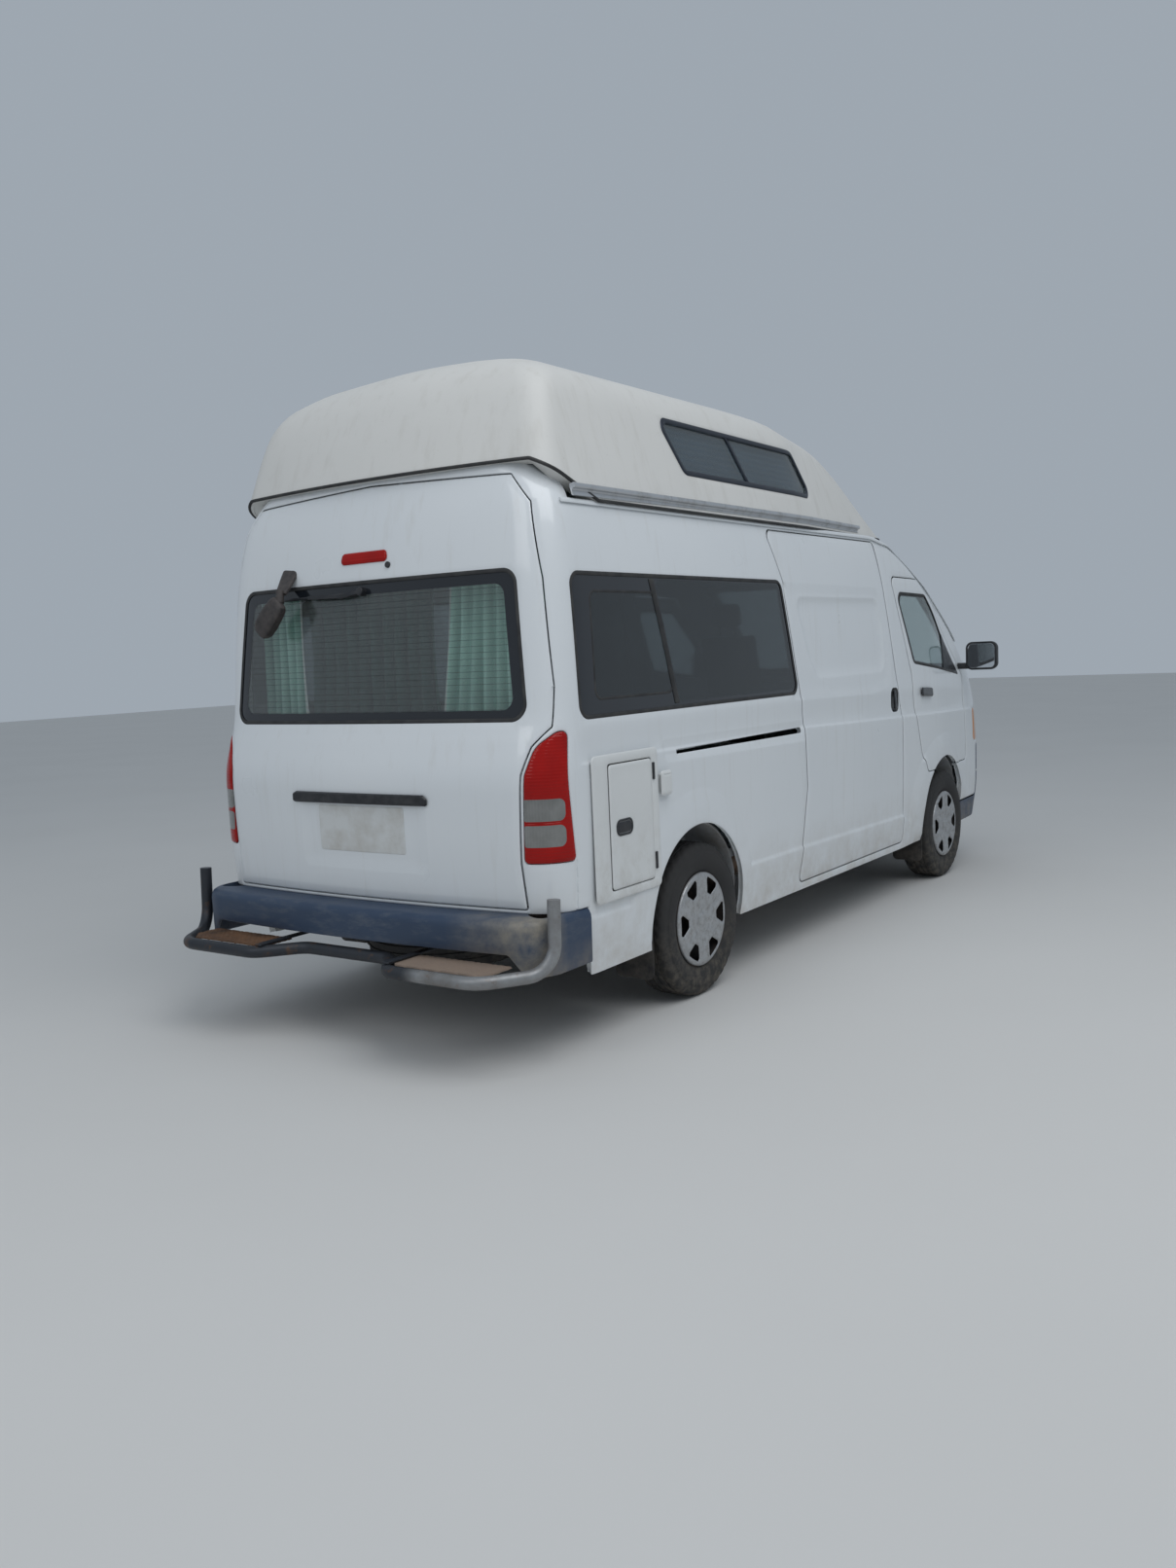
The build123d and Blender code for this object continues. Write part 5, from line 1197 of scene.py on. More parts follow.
# Rear bumper: dark blue-grey plastic wrapped round both corners, open below, its right-hand corner scuffed
# pale. One profile is carried round the tail; its lower edge drops at the sides.
bumper = Shade("bumper_plastic", roughness=0.55)
cloud = bumper.noise(3.0, 6.0, 0.6)
tone = bumper.mix(cloud, (0.018, 0.038, 0.078), (0.036, 0.062, 0.112))
scuff = bumper.ramp(bumper.noise(1.0, 6.0, 0.7, bumper.stretched((7, 7, 26))), 0.5, 0.72)
tone = bumper.over(tone, scuff, 0.35, (0.2, 0.21, 0.22))
rightward, backward = bumper.ramp(bumper.axis("X"), -0.52, -0.9), bumper.ramp(bumper.axis("Y"), 2.38, 2.5)
corner = bumper.maths("MULTIPLY", rightward, backward)
patch = bumper.maths("MULTIPLY", corner, bumper.ramp(bumper.noise(8.0, 6.0, 0.65), 0.3, 0.62))
tone = bumper.over(tone, patch, 0.85, (0.34, 0.3, 0.23))
bumper.colour(bumper.over(tone, bumper.settled(14.0, 0.5, 0.3, 0.7, 0.46, 0.34), 0.6, (0.25, 0.21, 0.16)))
bumper.rough(scuff, 0.45, 0.75)
bumper.bump(bumper.noise(260.0, 2.0), 0.0004, 0.4)
# z, half width, half width at nose, nose y, nose bow, nose corner r, tail y, tail bow, tail corner r
BUMPER_ROW = (0.5, 0.942, 0.925, -0.3, 0.02, 0.1, 2.602, 0.035, 0.162)
outline = half_outline(BUMPER_ROW, 0.1)
outline = outline[outline[:, 1] > 2.228]
outline = np.concatenate([outline[:0:-1] * (-1, 1), outline])
tail_path = np.column_stack([outline, np.zeros(len(outline))])
along = unit(np.gradient(tail_path, axis=0))
out = np.cross((0, 0, 1), along)
low = np.interp(np.abs(tail_path[:, 0]), [0.8, 0.872], [0.432, 0.347])
side = ease(np.abs(tail_path[:, 0]), 0.86, 0.93)[:, None]
shelf = 0.15 - 0.118 * side[:, 0]
ones = np.ones(len(low))
profile = np.stack([np.stack(pair, 1)
                    for pair in [(-0.01 * ones, low), (-0.002 * ones, low + 0.004), (0.0 * ones, low + 0.014),
                                 (0.002 * ones, 0.47 * ones), (0.003 * ones, 0.52 * ones),
                                 (0.001 * ones, 0.536 * ones), (-0.006 * ones, 0.55 * ones),
                                 (-0.018 * ones, 0.558 * ones), (-0.034 * ones, 0.56 * ones),
                                 (-shelf, 0.5595 * ones), (-shelf, 0.548 * ones), (-0.034 * ones, 0.545 * ones),
                                 (-0.02 * ones, 0.525 * ones), (-0.016 * ones, low + 0.006)]], 1)
finished("rear_bumper_skin", *swept(tail_path, out, (0, 0, 1), profile), [bumper.mat], "van",
         "bumper_plastic", ["rear_bumper"])

# Step bar: one bent steel tube, bowed out round each end of the tail, on two flat brackets under the chassis
# rails. A round profile is carried along the bent line. Dark paint is left on its left part; the right part is
# bare.
tube_paint = Shade("step_tube", roughness=0.4, metallic=0.6)
cloud = tube_paint.noise(6.0, 6.0, 0.65)
bare = tube_paint.mix(tube_paint.ramp(cloud, 0.35, 0.7), (0.34, 0.35, 0.36), (0.2, 0.19, 0.18))
dull = tube_paint.mix(cloud, (0.028, 0.032, 0.04), (0.06, 0.064, 0.072))
edge = tube_paint.maths("ADD", tube_paint.axis("X"), tube_paint.maths("MULTIPLY", cloud, 0.1))
tone = tube_paint.mix(tube_paint.ramp(edge, -0.5, -0.4), bare, dull)
rust = tube_paint.ramp(tube_paint.noise(16.0, 7.0, 0.7), 0.56, 0.7)
tube_paint.colour(tube_paint.over(tone, rust, 0.75, (0.16, 0.085, 0.045)))
tube_paint.rough(tube_paint.maths("MAXIMUM", rust, cloud), 0.22, 0.72)
tube_paint.bump(tube_paint.noise(90.0, 4.0), 0.0006, 0.5)


def prism(loop, axis, low, high, edge=0.002):
    """A bar with a closed outline, from low to high along one axis, its end edges cut by edge. The loop holds
    the other two axes in their order."""
    first, second = [k for k in range(3) if k != axis]
    path, out, up = np.zeros((3, 4, 3))
    path[:, axis] = low, low + edge, high - edge, high
    out[:, first], up[:, second] = 1, 1
    ends = inset(loop, edge)
    return swept(path, out, up, [ends, loop, loop, ends])


def bar_of(x, y, z, axis=0, radius=0.003):
    """A straight bar between two limits on each axis, its long edges rounded."""
    limits = [x, y, z]
    return prism(oblong(*[limits[k] for k in range(3) if k != axis], radius, 0.03), axis, *limits[axis])


half = bent([(0.965, 2.49, 0.64), (0.965, 2.5, 0.371), (0.8, 2.75, 0.371), (0.37, 2.75, 0.371),
             (0.235, 2.59, 0.371), (0, 2.59, 0.371)], (0.11, 0.12, 0.09, 0.09), 0.014)
step_path = np.concatenate([half, half[-2::-1] * (-1, 1, 1)])
along = unit(np.gradient(step_path, axis=0))
side = unit(np.cross(along, (0, 1.0, 0)))
tube = swept(step_path, side, np.cross(side, along), disc(0.0248, 24))
step_parts = [tube]
for x in ((0.338, 0.372), (-0.372, -0.338)):
    step_parts += [bar_of(x, (2.25, 2.74), (0.3955, 0.4045), 1), bar_of(x, (2.25, 2.42), (0.4045, 0.4395), 1)]
finished("step_bar_tube", *joined_up(*step_parts), [tube_paint.mat], "van", "step_tube", ["step_bar"])

# Step plates: two rusty tread plates welded into the bowed parts of the bar, with raised studs.
# Each is a flat net with a stud pattern: waves along both diagonals, kept where they cross.
tread = Shade("rusty_tread", roughness=0.8, metallic=0.2)
cloud = tread.noise(9.0, 8.0, 0.7)
tone = tread.mix(tread.ramp(cloud, 0.32, 0.68), (0.07, 0.04, 0.026), (0.21, 0.105, 0.05))
tone = tread.over(tone, tread.ramp(tread.axis("X"), 0, -0.1), 0.75, (0.33, 0.26, 0.21))
pale = tread.ramp(tread.noise(40.0, 5.0, 0.7), 0.6, 0.76)
tread.colour(tread.over(tone, pale, 0.6, (0.34, 0.27, 0.2)))
tread.bump(tread.noise(160.0, 5.0, 0.7), 0.001, 0.8)


def stud_relief(p):
    """Studs 1.6 mm high on a diagonal grid of 28 mm."""
    a, b = (p[:, 0] + p[:, 1]) * math.pi / 0.028, (p[:, 0] - p[:, 1]) * math.pi / 0.028
    return 0.0016 * ease(np.abs(np.sin(a) * np.sin(b)), 0.55, 0.85)


TREAD = rounded([(0.346, 2.562), (0.818, 2.562), (0.818, 2.67), (0.772, 2.722), (0.384, 2.722), (0.346, 2.68)],
                0.006)
points, faces, _ = pressed(TREAD, [], lambda x, y: np.stack([x, y, np.full_like(x, 0.388)], -1), 0.006, 0.006,
                           relief=stud_relief, roll=0.001)
if np.sum(corner_normals(points, faces)[:len(points) // 2, 2]) < 0:
    faces = faces[:, ::-1]
finished("step_tread_plates", *both_sides(points, faces)[:2], [tread.mat], "van", "tread_steel",
         ["step_plates"])


# Wheels: worn road tyres on steel rims under silver six-spoke plastic trims, greyed by brake dust. The tyre is
# a profile turned about the axle, with its grooves and sipes pressed in along the profile's normals.
tyre_rubber = Shade("tyre_rubber", roughness=0.85)
cloud = tyre_rubber.noise(7.0, 6.0, 0.6)
tone = tyre_rubber.mix(cloud, (0.016, 0.016, 0.017), (0.042, 0.04, 0.038))
dust = tyre_rubber.settled(26.0, 0.7, 0.42, 0.78, 0.42, 0.05)
tyre_rubber.colour(tyre_rubber.over(tone, dust, 0.75, (0.2, 0.17, 0.13)))
tyre_rubber.rough(cloud, 0.72, 0.92)
tyre_rubber.bump(tyre_rubber.noise(420.0, 3.0), 0.0005, 0.5)
trim_silver = Shade("trim_silver", roughness=0.42, metallic=0.55)
cloud = trim_silver.noise(11.0, 6.0, 0.65)
tone = trim_silver.mix(cloud, (0.34, 0.35, 0.36), (0.5, 0.51, 0.52))
brake = trim_silver.ramp(trim_silver.noise(38.0, 7.0, 0.75), 0.46, 0.74)
trim_silver.colour(trim_silver.over(tone, brake, 0.6, (0.16, 0.13, 0.1)))
trim_silver.rough(brake, 0.34, 0.7)
trim_silver.bump(trim_silver.noise(180.0, 3.0), 0.0003, 0.4)
wheel_steel = Shade("wheel_steel", roughness=0.7, metallic=0.4)
wheel_steel.clouded((0.014, 0.014, 0.015), (0.06, 0.042, 0.03), 14.0, 6.0, 0.7, 0.4, 0.72)

TREAD_GROOVES = (-0.046, -0.016, 0.016, 0.046)
TYRE_SIDE = np.array([
    (0.074, 0.2), (0.0765, 0.203), (0.08, 0.212), (0.085, 0.218), (0.088, 0.224), (0.093, 0.238),
    (0.0962, 0.252), (0.0972, 0.264), (0.097, 0.276), (0.0955, 0.286), (0.0955, 0.289), (0.093, 0.292),
    (0.0915, 0.302), (0.09, 0.312), (0.088, 0.319), (0.0835, 0.3262), (0.078, 0.331), (0.072, 0.334),
    (0.066, 0.3355)])
WHEEL_TURNS = 160
AXLES = {"front": -1.76, "rear": 1.35}
HALF_TRACK = 0.827
AXLE_HEIGHT = 0.338


def turned(profile, sink=None, count=WHEEL_TURNS):
    """Ring about the X axis: a closed anticlockwise (axial, radius) profile carried round. sink presses each
    point in along the profile's normal."""
    turn = np.linspace(0, 2 * math.pi, count + 1)[:-1]
    rows = np.repeat(profile[None], count, 0)
    if sink is not None:
        rows = rows + (beside(profile, 1.0) - profile) * sink[..., None]
    radial = np.column_stack([0 * turn, np.cos(turn), np.sin(turn)])
    return swept(np.zeros((count, 3)), (1, 0, 0), radial, rows, True)


crown = [groove + edge for groove in TREAD_GROOVES for edge in (-0.0048, -0.0023, 0.0023, 0.0048)]
crown = np.sort(crown + [-0.06, -0.054, -0.038, -0.031, -0.024, 0, 0.024, 0.031, 0.038, 0.054, 0.06])[::-1]
crown = np.column_stack([crown, 0.3378 - 0.0022 * (crown / 0.066) ** 2])
tyre_profile = np.concatenate([TYRE_SIDE, crown, TYRE_SIDE[::-1] * (-1, 1)])
turn = np.arange(WHEEL_TURNS)[:, None]
a, r = tyre_profile.T
tread_zone = ease(r, 0.331, 0.334)
around = sum(ease(np.abs(a - groove), 0.0046, 0.0024) for groove in TREAD_GROOVES)
slant = np.round(np.abs(a) / 0.012).astype(int)
across = ((turn + slant) % 4 == 0) * ((np.abs(a) > 0.05) | (np.abs(np.abs(a) - 0.031) < 0.01))
sink = np.maximum(0.0065 * np.clip(around, 0, 1), 0.005 * across) * tread_zone
sink = sink + 0.003 * ((turn % 4) == 0) * ease(r, 0.312, 0.32) * (r < 0.333)
tyre_mesh = turned(tyre_profile, sink)


def trim_at(y, z):
    """The trim's face as a form over (y, z): axial place against the radius, from the cap to the rim's edge."""
    r = np.hypot(y, z)
    stations = [0, 0.024, 0.029, 0.033, 0.06, 0.09, 0.125, 0.16, 0.186, 0.197, 0.204, 0.209]
    places = [0.0955, 0.095, 0.0925, 0.0895, 0.0905, 0.094, 0.097, 0.0978, 0.0965, 0.0935, 0.0895, 0.085]
    return np.stack([np.interp(r, stations, places), y, z], -1)


def spoke_relief(p):
    """A shallow groove down the middle of each of the six spokes."""
    r = np.hypot(p[:, 1], p[:, 2])
    turn = np.mod(np.arctan2(p[:, 1], p[:, 2]) + math.pi / 6, math.pi / 3) - math.pi / 6
    groove = ease(np.abs(r * np.sin(turn)), 0.016, 0.008) * ease(r, 0.048, 0.062) * ease(r, 0.176, 0.16)
    return -0.0025 * groove


hole = np.array([(-0.016, 0.118), (0.016, 0.118), (0.046, 0.168), (0.042, 0.184), (-0.042, 0.184),
                 (-0.046, 0.168)])
trim_holes = []
for number in range(6):
    angle = (number + 0.5) * math.pi / 3
    spin = np.array([[math.cos(angle), math.sin(angle)], [-math.sin(angle), math.cos(angle)]])
    trim_holes.append(rounded(hole @ spin, 0.007, 0.005))
trim_rings = [(circle((0, 0), r, 0.006), (0.0,)) for r in (0.024, 0.029, 0.033)]
trim_mesh = pressed(circle((0, 0), 0.2085, 0.006), trim_holes, trim_at, 0.007, 0.003, trim_rings, spoke_relief,
                    roll=0.0045)
BARREL = np.array([(-0.076, 0.204), (-0.077, 0.212), (-0.082, 0.212), (-0.082, 0.19), (-0.06, 0.188),
                   (0.06, 0.188), (0.08, 0.196), (0.0815, 0.212), (0.077, 0.212), (0.076, 0.204)])
DISH = np.array([(0.0, 0.06), (0.014, 0.075), (0.014, 0.112), (0.034, 0.16), (0.038, 0.19), (0.044, 0.19),
                 (0.04, 0.16), (0.02, 0.11), (0.022, 0.075), (0.032, 0.06), (0.03, 0.024), (0.0, 0.024)])
barrel, dish = turned(BARREL, count=96), turned(DISH, count=96)
rim_points, rim_faces, rim_numbers = assembled((trim_mesh[:2], 0), (barrel, 1), (dish, 1))
# kind, mesh, materials, each face's material, slot
wheel_pieces = (
    ("tyre", tyre_mesh, [tyre_rubber.mat], None, "tyre_rubber"),
    ("rim", (rim_points, rim_faces), [trim_silver.mat, wheel_steel.mat], rim_numbers, "trim_silver"),
)
for end, axle in AXLES.items():
    for side, hand in (("left", 1), ("right", -1)):
        for kind, mesh, mats, numbers, slot in wheel_pieces:
            points, faces = mesh if side == "left" else mirrored(*mesh)
            finished(f"{kind}_skin_{end}_{side}", points + (hand * HALF_TRACK, axle, AXLE_HEIGHT), faces, mats,
                     f"wheel_{end}_{side}", slot, [f"{kind}_{end}_{side}"], face_mats=numbers)
points, faces = tyre_mesh
finished("spare_tyre_skin", points[:, [1, 2, 0]] + (0, 1.99, 0.33), faces, [tyre_rubber.mat], "van",
         "tyre_rubber", ["spare_tyre"])

# Service locker: a white plastic frame let into the right-hand wall, with a moulded box behind it, a lid on two
# black hinges with a dark paddle latch, and beside it the small lidded power inlet. All are nets pressed onto
# flat places.
locker_white = Shade("locker_plastic", roughness=0.36)
cloud = locker_white.noise(4.0, 6.0, 0.6)
tone = locker_white.mix(cloud, (0.68, 0.69, 0.68), (0.74, 0.75, 0.74))
grime = locker_white.settled(13.0, 0.7, 0.46, 0.8, 0.95, 0.5)
locker_white.colour(locker_white.over(tone, grime, 0.6, (0.4, 0.36, 0.3)))
locker_white.rough(cloud, 0.28, 0.46)


def wall(x):
    """The flat upright place at x, as a form over (y, z)."""
    return lambda y, z: np.stack([np.full_like(y, x), y, z], -1)


def lid_relief(p):
    """A soft step 1.5 mm down, 16 mm in from the lid's edge."""
    edge = np.minimum(0.154 - np.abs(p[:, 1] - 1.931), 0.244 - np.abs(p[:, 2] - 0.841))
    return -0.0015 * ease(edge, 0.012, 0.02)


def tub(loop, front, back):
    """An open box carried along X from front to back and closed there, as a wall 4 mm thick, its inside
    smooth."""
    rows = [(loop, front), (loop, (front + back) / 2), (loop, back - 0.01), (inset(loop, 0.003), back - 0.002),
            (inset(loop, 0.012), back), (inset(loop, 0.06), back), (loop * 0 + loop.mean(0), back)]
    points = np.concatenate([np.column_stack([np.full(len(line), x), line]) for line, x in rows])
    wide = len(loop)
    i, j = np.meshgrid(np.arange(len(rows) - 1), np.arange(wide), indexing="ij")
    a, b = i * wide + j, i * wide + (j + 1) % wide
    faces = [np.stack(corners, -1).reshape(-1, 3) for corners in ([a, b, b + wide], [a, b + wide, a + wide])]
    faces = np.concatenate(faces)
    points, faces, _ = joined(points, faces)
    if np.sum(corner_normals(points, faces) * (points.mean(0) - points)) < 0:
        faces = faces[:, ::-1]
    return thick(points, faces, 0.004)


frame_edge = oblong((1.723, 2.195), (0.557, 1.127), 0.024)
mouth = oblong((1.7735, 2.0885), (0.5935, 1.0885), 0.012)
locker_face = pressed(frame_edge, [mouth], wall(-0.9525), 0.03, 0.011, roll=0.004)[:2]
locker_box = tub(mouth, -0.9425, -0.658)
inlet_edge = oblong((1.635, 1.715), (0.923, 1.025), 0.012, 0.006)
inlet_flap = oblong((1.641, 1.709), (0.931, 1.008), 0.008, 0.006)
inlet_box = pressed(inlet_edge, [], wall(-0.9645), 0.01, 0.024, roll=0.006)[:2]
flap = pressed(inlet_flap, [], wall(-0.9672), 0.01, 0.004, roll=0.002)[:2]
flap_pin = bar_of((-0.9668, -0.961), (1.648, 1.702), (1.01, 1.017), 1, 0.0025)
hinges = [bar_of((-0.9578, -0.952), (1.756, 1.7705), (z, z + 0.07), 2, 0.002) for z in (0.997, 0.633)]
points, faces, numbers = assembled((locker_face, 0), (locker_box, 0), (inlet_box, 0), (flap, 0), (flap_pin, 0),
                                   *[(hinge, 1) for hinge in hinges])
finished("locker_surround", points, faces, [locker_white.mat, satin_black.mat], "van", "locker_plastic",
         ["locker_frame"], face_mats=numbers)

lid_edge = oblong((1.7775, 2.0845), (0.5975, 1.0845), 0.014)
lid = pressed(lid_edge, [], wall(-0.955), 0.02, 0.014, relief=lid_relief, roll=0.004)[:2]
latch_edge = oblong((1.93, 2.048), (0.802, 0.868), 0.028, 0.006)
latch = pressed(latch_edge, [inset(latch_edge, 0.01)], wall(-0.9576), 0.01, 0.005, roll=0.002)[:2]
paddle = pressed(inset(latch_edge, 0.0115), [], wall(-0.9564), 0.01, 0.004, roll=0.0015)[:2]
points, faces, numbers = assembled((lid, 0), (latch, 1), (paddle, 1))
finished("locker_lid_panel", points, faces, [locker_white.mat, satin_black.mat], "locker_lid", "locker_plastic",
         ["locker_door"], face_mats=numbers)

# Door mirrors: black plastic housings on a stalk and a black corner plate, with the glass facing back.
# The housing is a rounded rectangle carried along Y and drawn in toward the front.
mirror_glass = Shade("mirror_glass", roughness=0.03, metallic=1.0)
mirror_glass.clouded((0.6, 0.63, 0.66), (0.68, 0.71, 0.74), 6.0)


def bulged(loop, stations, scales, place, out, up, axis):
    """A closed body: the loop scaled both ways at each station along an axis from a place."""
    path = np.asarray(place) + np.outer(stations, axis)
    return swept(path, out, up, np.asarray(scales)[:, None] * loop[None])


face_loop = oblong((-0.101, 0.101), (-0.091, 0.091), 0.042, 0.008)
housing = bulged(face_loop, [-0.0425, -0.04, -0.034, -0.023, -0.008, 0.012, 0.036, 0.0405],
                 [[scale] * 2 for scale in (0.45, 0.66, 0.82, 0.92, 0.97, 0.995, 1.0, 0.985)],
                 (1.038, -2.1925, 1.386), (1, 0, 0), (0, 0, 1), (0, 1, 0))
glass_loop = inset(face_loop, 0.014) + (1.038, 1.386)
mirror_face = prism(glass_loop, 1, -2.158, -2.1502, 0.001)
stalk = prism(oblong((-2.204, -2.166), (1.302, 1.343), 0.012, 0.01), 0, 0.868, 0.95)
points, faces, numbers = assembled((housing, 0), (mirror_face, 1), (stalk, 0))
sail_mesh = pressed(sail, [], body_at, 0.02, 0.008, lift=0.003, roll=0.003)[:2]
for (side, mesh), (_, plate) in zip(hands(points, faces), hands(*sail_mesh)):
    finished(f"mirror_housing_{side}", *mesh, [satin_black.mat, mirror_glass.mat], f"door_{side}",
             "mirror_black", [f"mirror_{side}"], face_mats=numbers)
    finished(f"cab_door_sail_{side}", *plate, [satin_black.mat], f"door_{side}", None)

# Hatch mirror: a brownish-black wedge on a flat arm at the glass's top, facing down at the ground behind.
# Oval sections of changing width are carried down its slanted length; the arm is a flat profile on a bent line.
fading_and_fold_shade = Shade("faded_black", roughness=0.6)
fading_and_fold_shade.clouded((0.03, 0.026, 0.026), (0.085, 0.072, 0.066), 30.0, 6.0, 0.7, 0.35, 0.75)
fading_and_fold_shade.bump(fading_and_fold_shade.noise(240.0, 3.0), 0.0004, 0.5)
slant = math.radians(-46)
head_axis = np.array([math.sin(slant), 0, math.cos(slant)])
head_out = np.array([math.cos(slant), 0, -math.sin(slant)])
head_rows = np.array([
    # place along the head, half width, half thickness
    (0.092, 0.02, 0.01), (0.087, 0.034, 0.017), (0.072, 0.041, 0.022), (0.03, 0.045, 0.027),
    (-0.02, 0.047, 0.029), (-0.06, 0.045, 0.027), (-0.082, 0.036, 0.021), (-0.092, 0.022, 0.012)])
block_loop = oblong((-1, 1), (-1, 1), 0.5, 0.12)
head = bulged(block_loop, head_rows[:, 0], head_rows[:, 1:], (0.474, 2.45, 1.72), head_out, (0, 1, 0),
              head_axis)
arm_path = bent([(0.455, 2.318, 1.946), (0.45, 2.335, 1.915), (0.44, 2.375, 1.87), (0.424, 2.425, 1.816)], 0.04,
                0.006)
arm_along = unit(np.gradient(arm_path, axis=0))
arm_share = np.linspace(0, 1, len(arm_path))
arm_wide = np.interp(arm_share, [0, 0.05, 0.15, 0.45, 0.95, 1], [0.026, 0.038, 0.045, 0.043, 0.033, 0.028])
arm_thick = np.interp(arm_share, [0, 0.05, 0.15, 0.45, 1], [0.007, 0.01, 0.012, 0.009, 0.008])
arm_sizes = np.column_stack([arm_wide, arm_thick])
arm = swept(arm_path, (1, 0, 0), unit(np.cross((1, 0, 0), arm_along)), arm_sizes[:, None] * block_loop[None])
ball = knob((0.426, 2.428, 1.83), (-0.15, 0.25, -0.95), 0.017, 0.056)
points, faces, _ = assembled((head, 0), (arm, 0), (ball, 0))
finished("ground_mirror", points, faces, [fading_and_fold_shade.mat], "hatch", "mirror_black", ["hatch_mirror"])

# Mud flaps: limp black rubber sheets behind the wheels, slightly waved.
# Each is a thin net on an upright place, its middle swayed by two slow waves.
flap_rubber = Shade("flap_rubber", roughness=0.75)
dusty = flap_rubber.settled(15.0, 0.7, 0.35, 0.75, 0.5, 0.12)
flap_rubber.colour(flap_rubber.mix(dusty, (0.018, 0.018, 0.019), (0.14, 0.12, 0.1)))
flap_rubber.bump(flap_rubber.noise(120.0, 3.0), 0.0005, 0.5)


def hung_at(place):
    """A limp sheet's form over (x, z): the upright place, swayed by one wave across it and one down it."""
    return lambda x, z: np.stack(
        [x, place + 0.003 * np.sin(x * 22) * ease(z, 0.48, 0.3) + 0.0015 * np.sin(z * 17), z], -1)


flaps = []
for place in (-1.365, 1.753):
    edge = oblong((0.722, 0.913), (0.158, 0.478), (0.03, 0.03, 0.006, 0.006))
    sheet = pressed(edge, [], hung_at(place), 0.02, 0.005, roll=0.001)[:2]
    flaps += [sheet, mirrored(*sheet)]
finished("mud_flap_sheets", *joined_up(*flaps), [flap_rubber.mat], "van", "flap_rubber", ["mud_flaps"])

# Nose: dark blue-grey front bumper, black slatted grille, and headlamps with amber corners; all guessed plain
# forms. Each is a net on the body's form like its neighbours.
nose_s = from_side(np.array([(-2.152, 0.43), (-2.5, 0.79)]))[:, 0]
t_arch, t_tall = S_END - nose_s
edge = np.array([(-t_arch, 0.293), (t_arch, 0.293), (t_arch, 0.429), (t_tall, 0.429), (t_tall, 0.788),
                 (-t_tall, 0.788), (-t_tall, 0.429), (-t_arch, 0.429)])
edge = rounded(edge, (0.01, 0.01, 0.004, 0.02, 0.025, 0.025, 0.02, 0.004))
intake = rounded([(-0.46, 0.35), (0.46, 0.35), (0.42, 0.44), (-0.42, 0.44)], 0.025)


def intake_relief(p):
    """The bumper's air intake: a step of 20 mm inward over 14 mm, and a shallow groove along its middle
    height."""
    near = to_edge(p[:, ::2], intake) * (p[:, 1] < -2.3)
    groove = ease(np.abs(p[:, 2] - 0.6), 0.01, 0.004) * ease(p[:, 1], -2.5, -2.54)
    return -0.02 * ease(near, 0, 0.014) - 0.004 * groove


line = there_and_back(np.column_stack([np.linspace(-t_tall, t_tall, 200), np.full(200, 0.6)]))
points, faces, flat = pressed(edge, [], nose_at, 0.026, 0.036,
                              [(intake, (-0.012, -0.006, 0.0)), (line, (-0.01, -0.006, 0, 0.006, 0.01))],
                              intake_relief, lines=[from_ahead(intake)])
dark = inside(flat[faces].mean(1), from_ahead(intake)) & (faces.max(1) < len(points) // 2)
finished("front_bumper_skin", points, faces, [bumper.mat, satin_black.mat], "van", "bumper_plastic",
         ["front_bumper"], face_mats=dark)

slots = [oblong((-0.503, 0.503), (low, low + 0.024), 0.008, 0.008)
         for low in (0.822, 0.86, 0.898, 0.936)]
grille_edge = inset(from_ahead(GRILLE), 0.002)
slats = pressed(grille_edge, [from_ahead(slot) for slot in slots], nose_at, 0.02, 0.02, lift=-0.001,
                roll=0.003)[:2]
backing = pressed(inset(grille_edge, 0.004), [], nose_at, 0.04, 0.01, lift=-0.026)[:2]
points, faces, _ = merged(slats, backing)
finished("grille_slats", points, faces, [satin_black.mat], "van", "black_plastic", ["grille"])

amber = Shade("amber_lens", roughness=0.12, Coat_Weight=1.0, Coat_Roughness=0.03)
amber.clouded((0.52, 0.16, 0.012), (0.7, 0.25, 0.02), 9.0, 3.0)
reflector = from_nose(from_ahead(circle((0.755, 0.905), 0.072, 0.006)))
points, faces, flat = pressed(inset(NOSE_LAMP, 0.003), [], body_at, 0.012, 0.036,
                              [(reflector, (-0.006, 0.004, 0.01))], lift=-0.0005, roll=0.005, lines=[reflector])
middle = flat[faces].mean(1)
amber_s = from_side(np.array([(-2.53, 0.92)]))[0, 0]
kinds = np.where(middle[:, 0] < amber_s, 2, np.where(inside(middle, reflector), 1, 0))
points, faces, kinds = both_sides(points, faces, kinds)
finished("headlamp_pair", points, faces, [clear_lens.mat, mirror_glass.mat, amber.mat], "van", "clear_lens",
         ["headlamps"], face_mats=kinds)

# Front wipers: two black arms on round pivots, with their blades parked just off the windscreen.
# Arm and blade are profiles carried along lines on the nose's form.
wiper_parts = []


def on_nose(line, lift):
    """Path, outward and sideways vectors along (x, z) points seen from the front."""
    path, out, sideways = on_form(nose_at, from_ahead(line), -lift)
    return path, -out, sideways


for pivot, tip in (((-0.08, 1.274), (0.54, 1.33)), ((-0.64, 1.274), (-0.03, 1.352))):
    pivot, tip = np.array(pivot), np.array(tip)
    path, out, _ = on_nose(np.array([pivot, pivot + (0.01, 0)]), -0.004)
    wiper_parts.append(knob(path[0], out[0], 0.0175, 0.026))
    share = np.linspace(0.02, 0.62, 30)[:, None]
    profile = [(-0.004, -0.008), (0.004, -0.006), (0.004, 0.006), (-0.004, 0.008)]
    wiper_parts.append(swept(*on_nose(pivot + (tip - pivot) * share, 0.019), profile))
    share = np.linspace(0.16, 0.995, 50)[:, None]
    profile = [(-0.011, -0.0012), (-0.002, -0.005), (0.004, -0.005), (0.006, 0), (0.004, 0.005),
               (-0.002, 0.005), (-0.011, 0.0012)]
    wiper_parts.append(swept(*on_nose(pivot + (tip - pivot) * share, 0.014), profile))
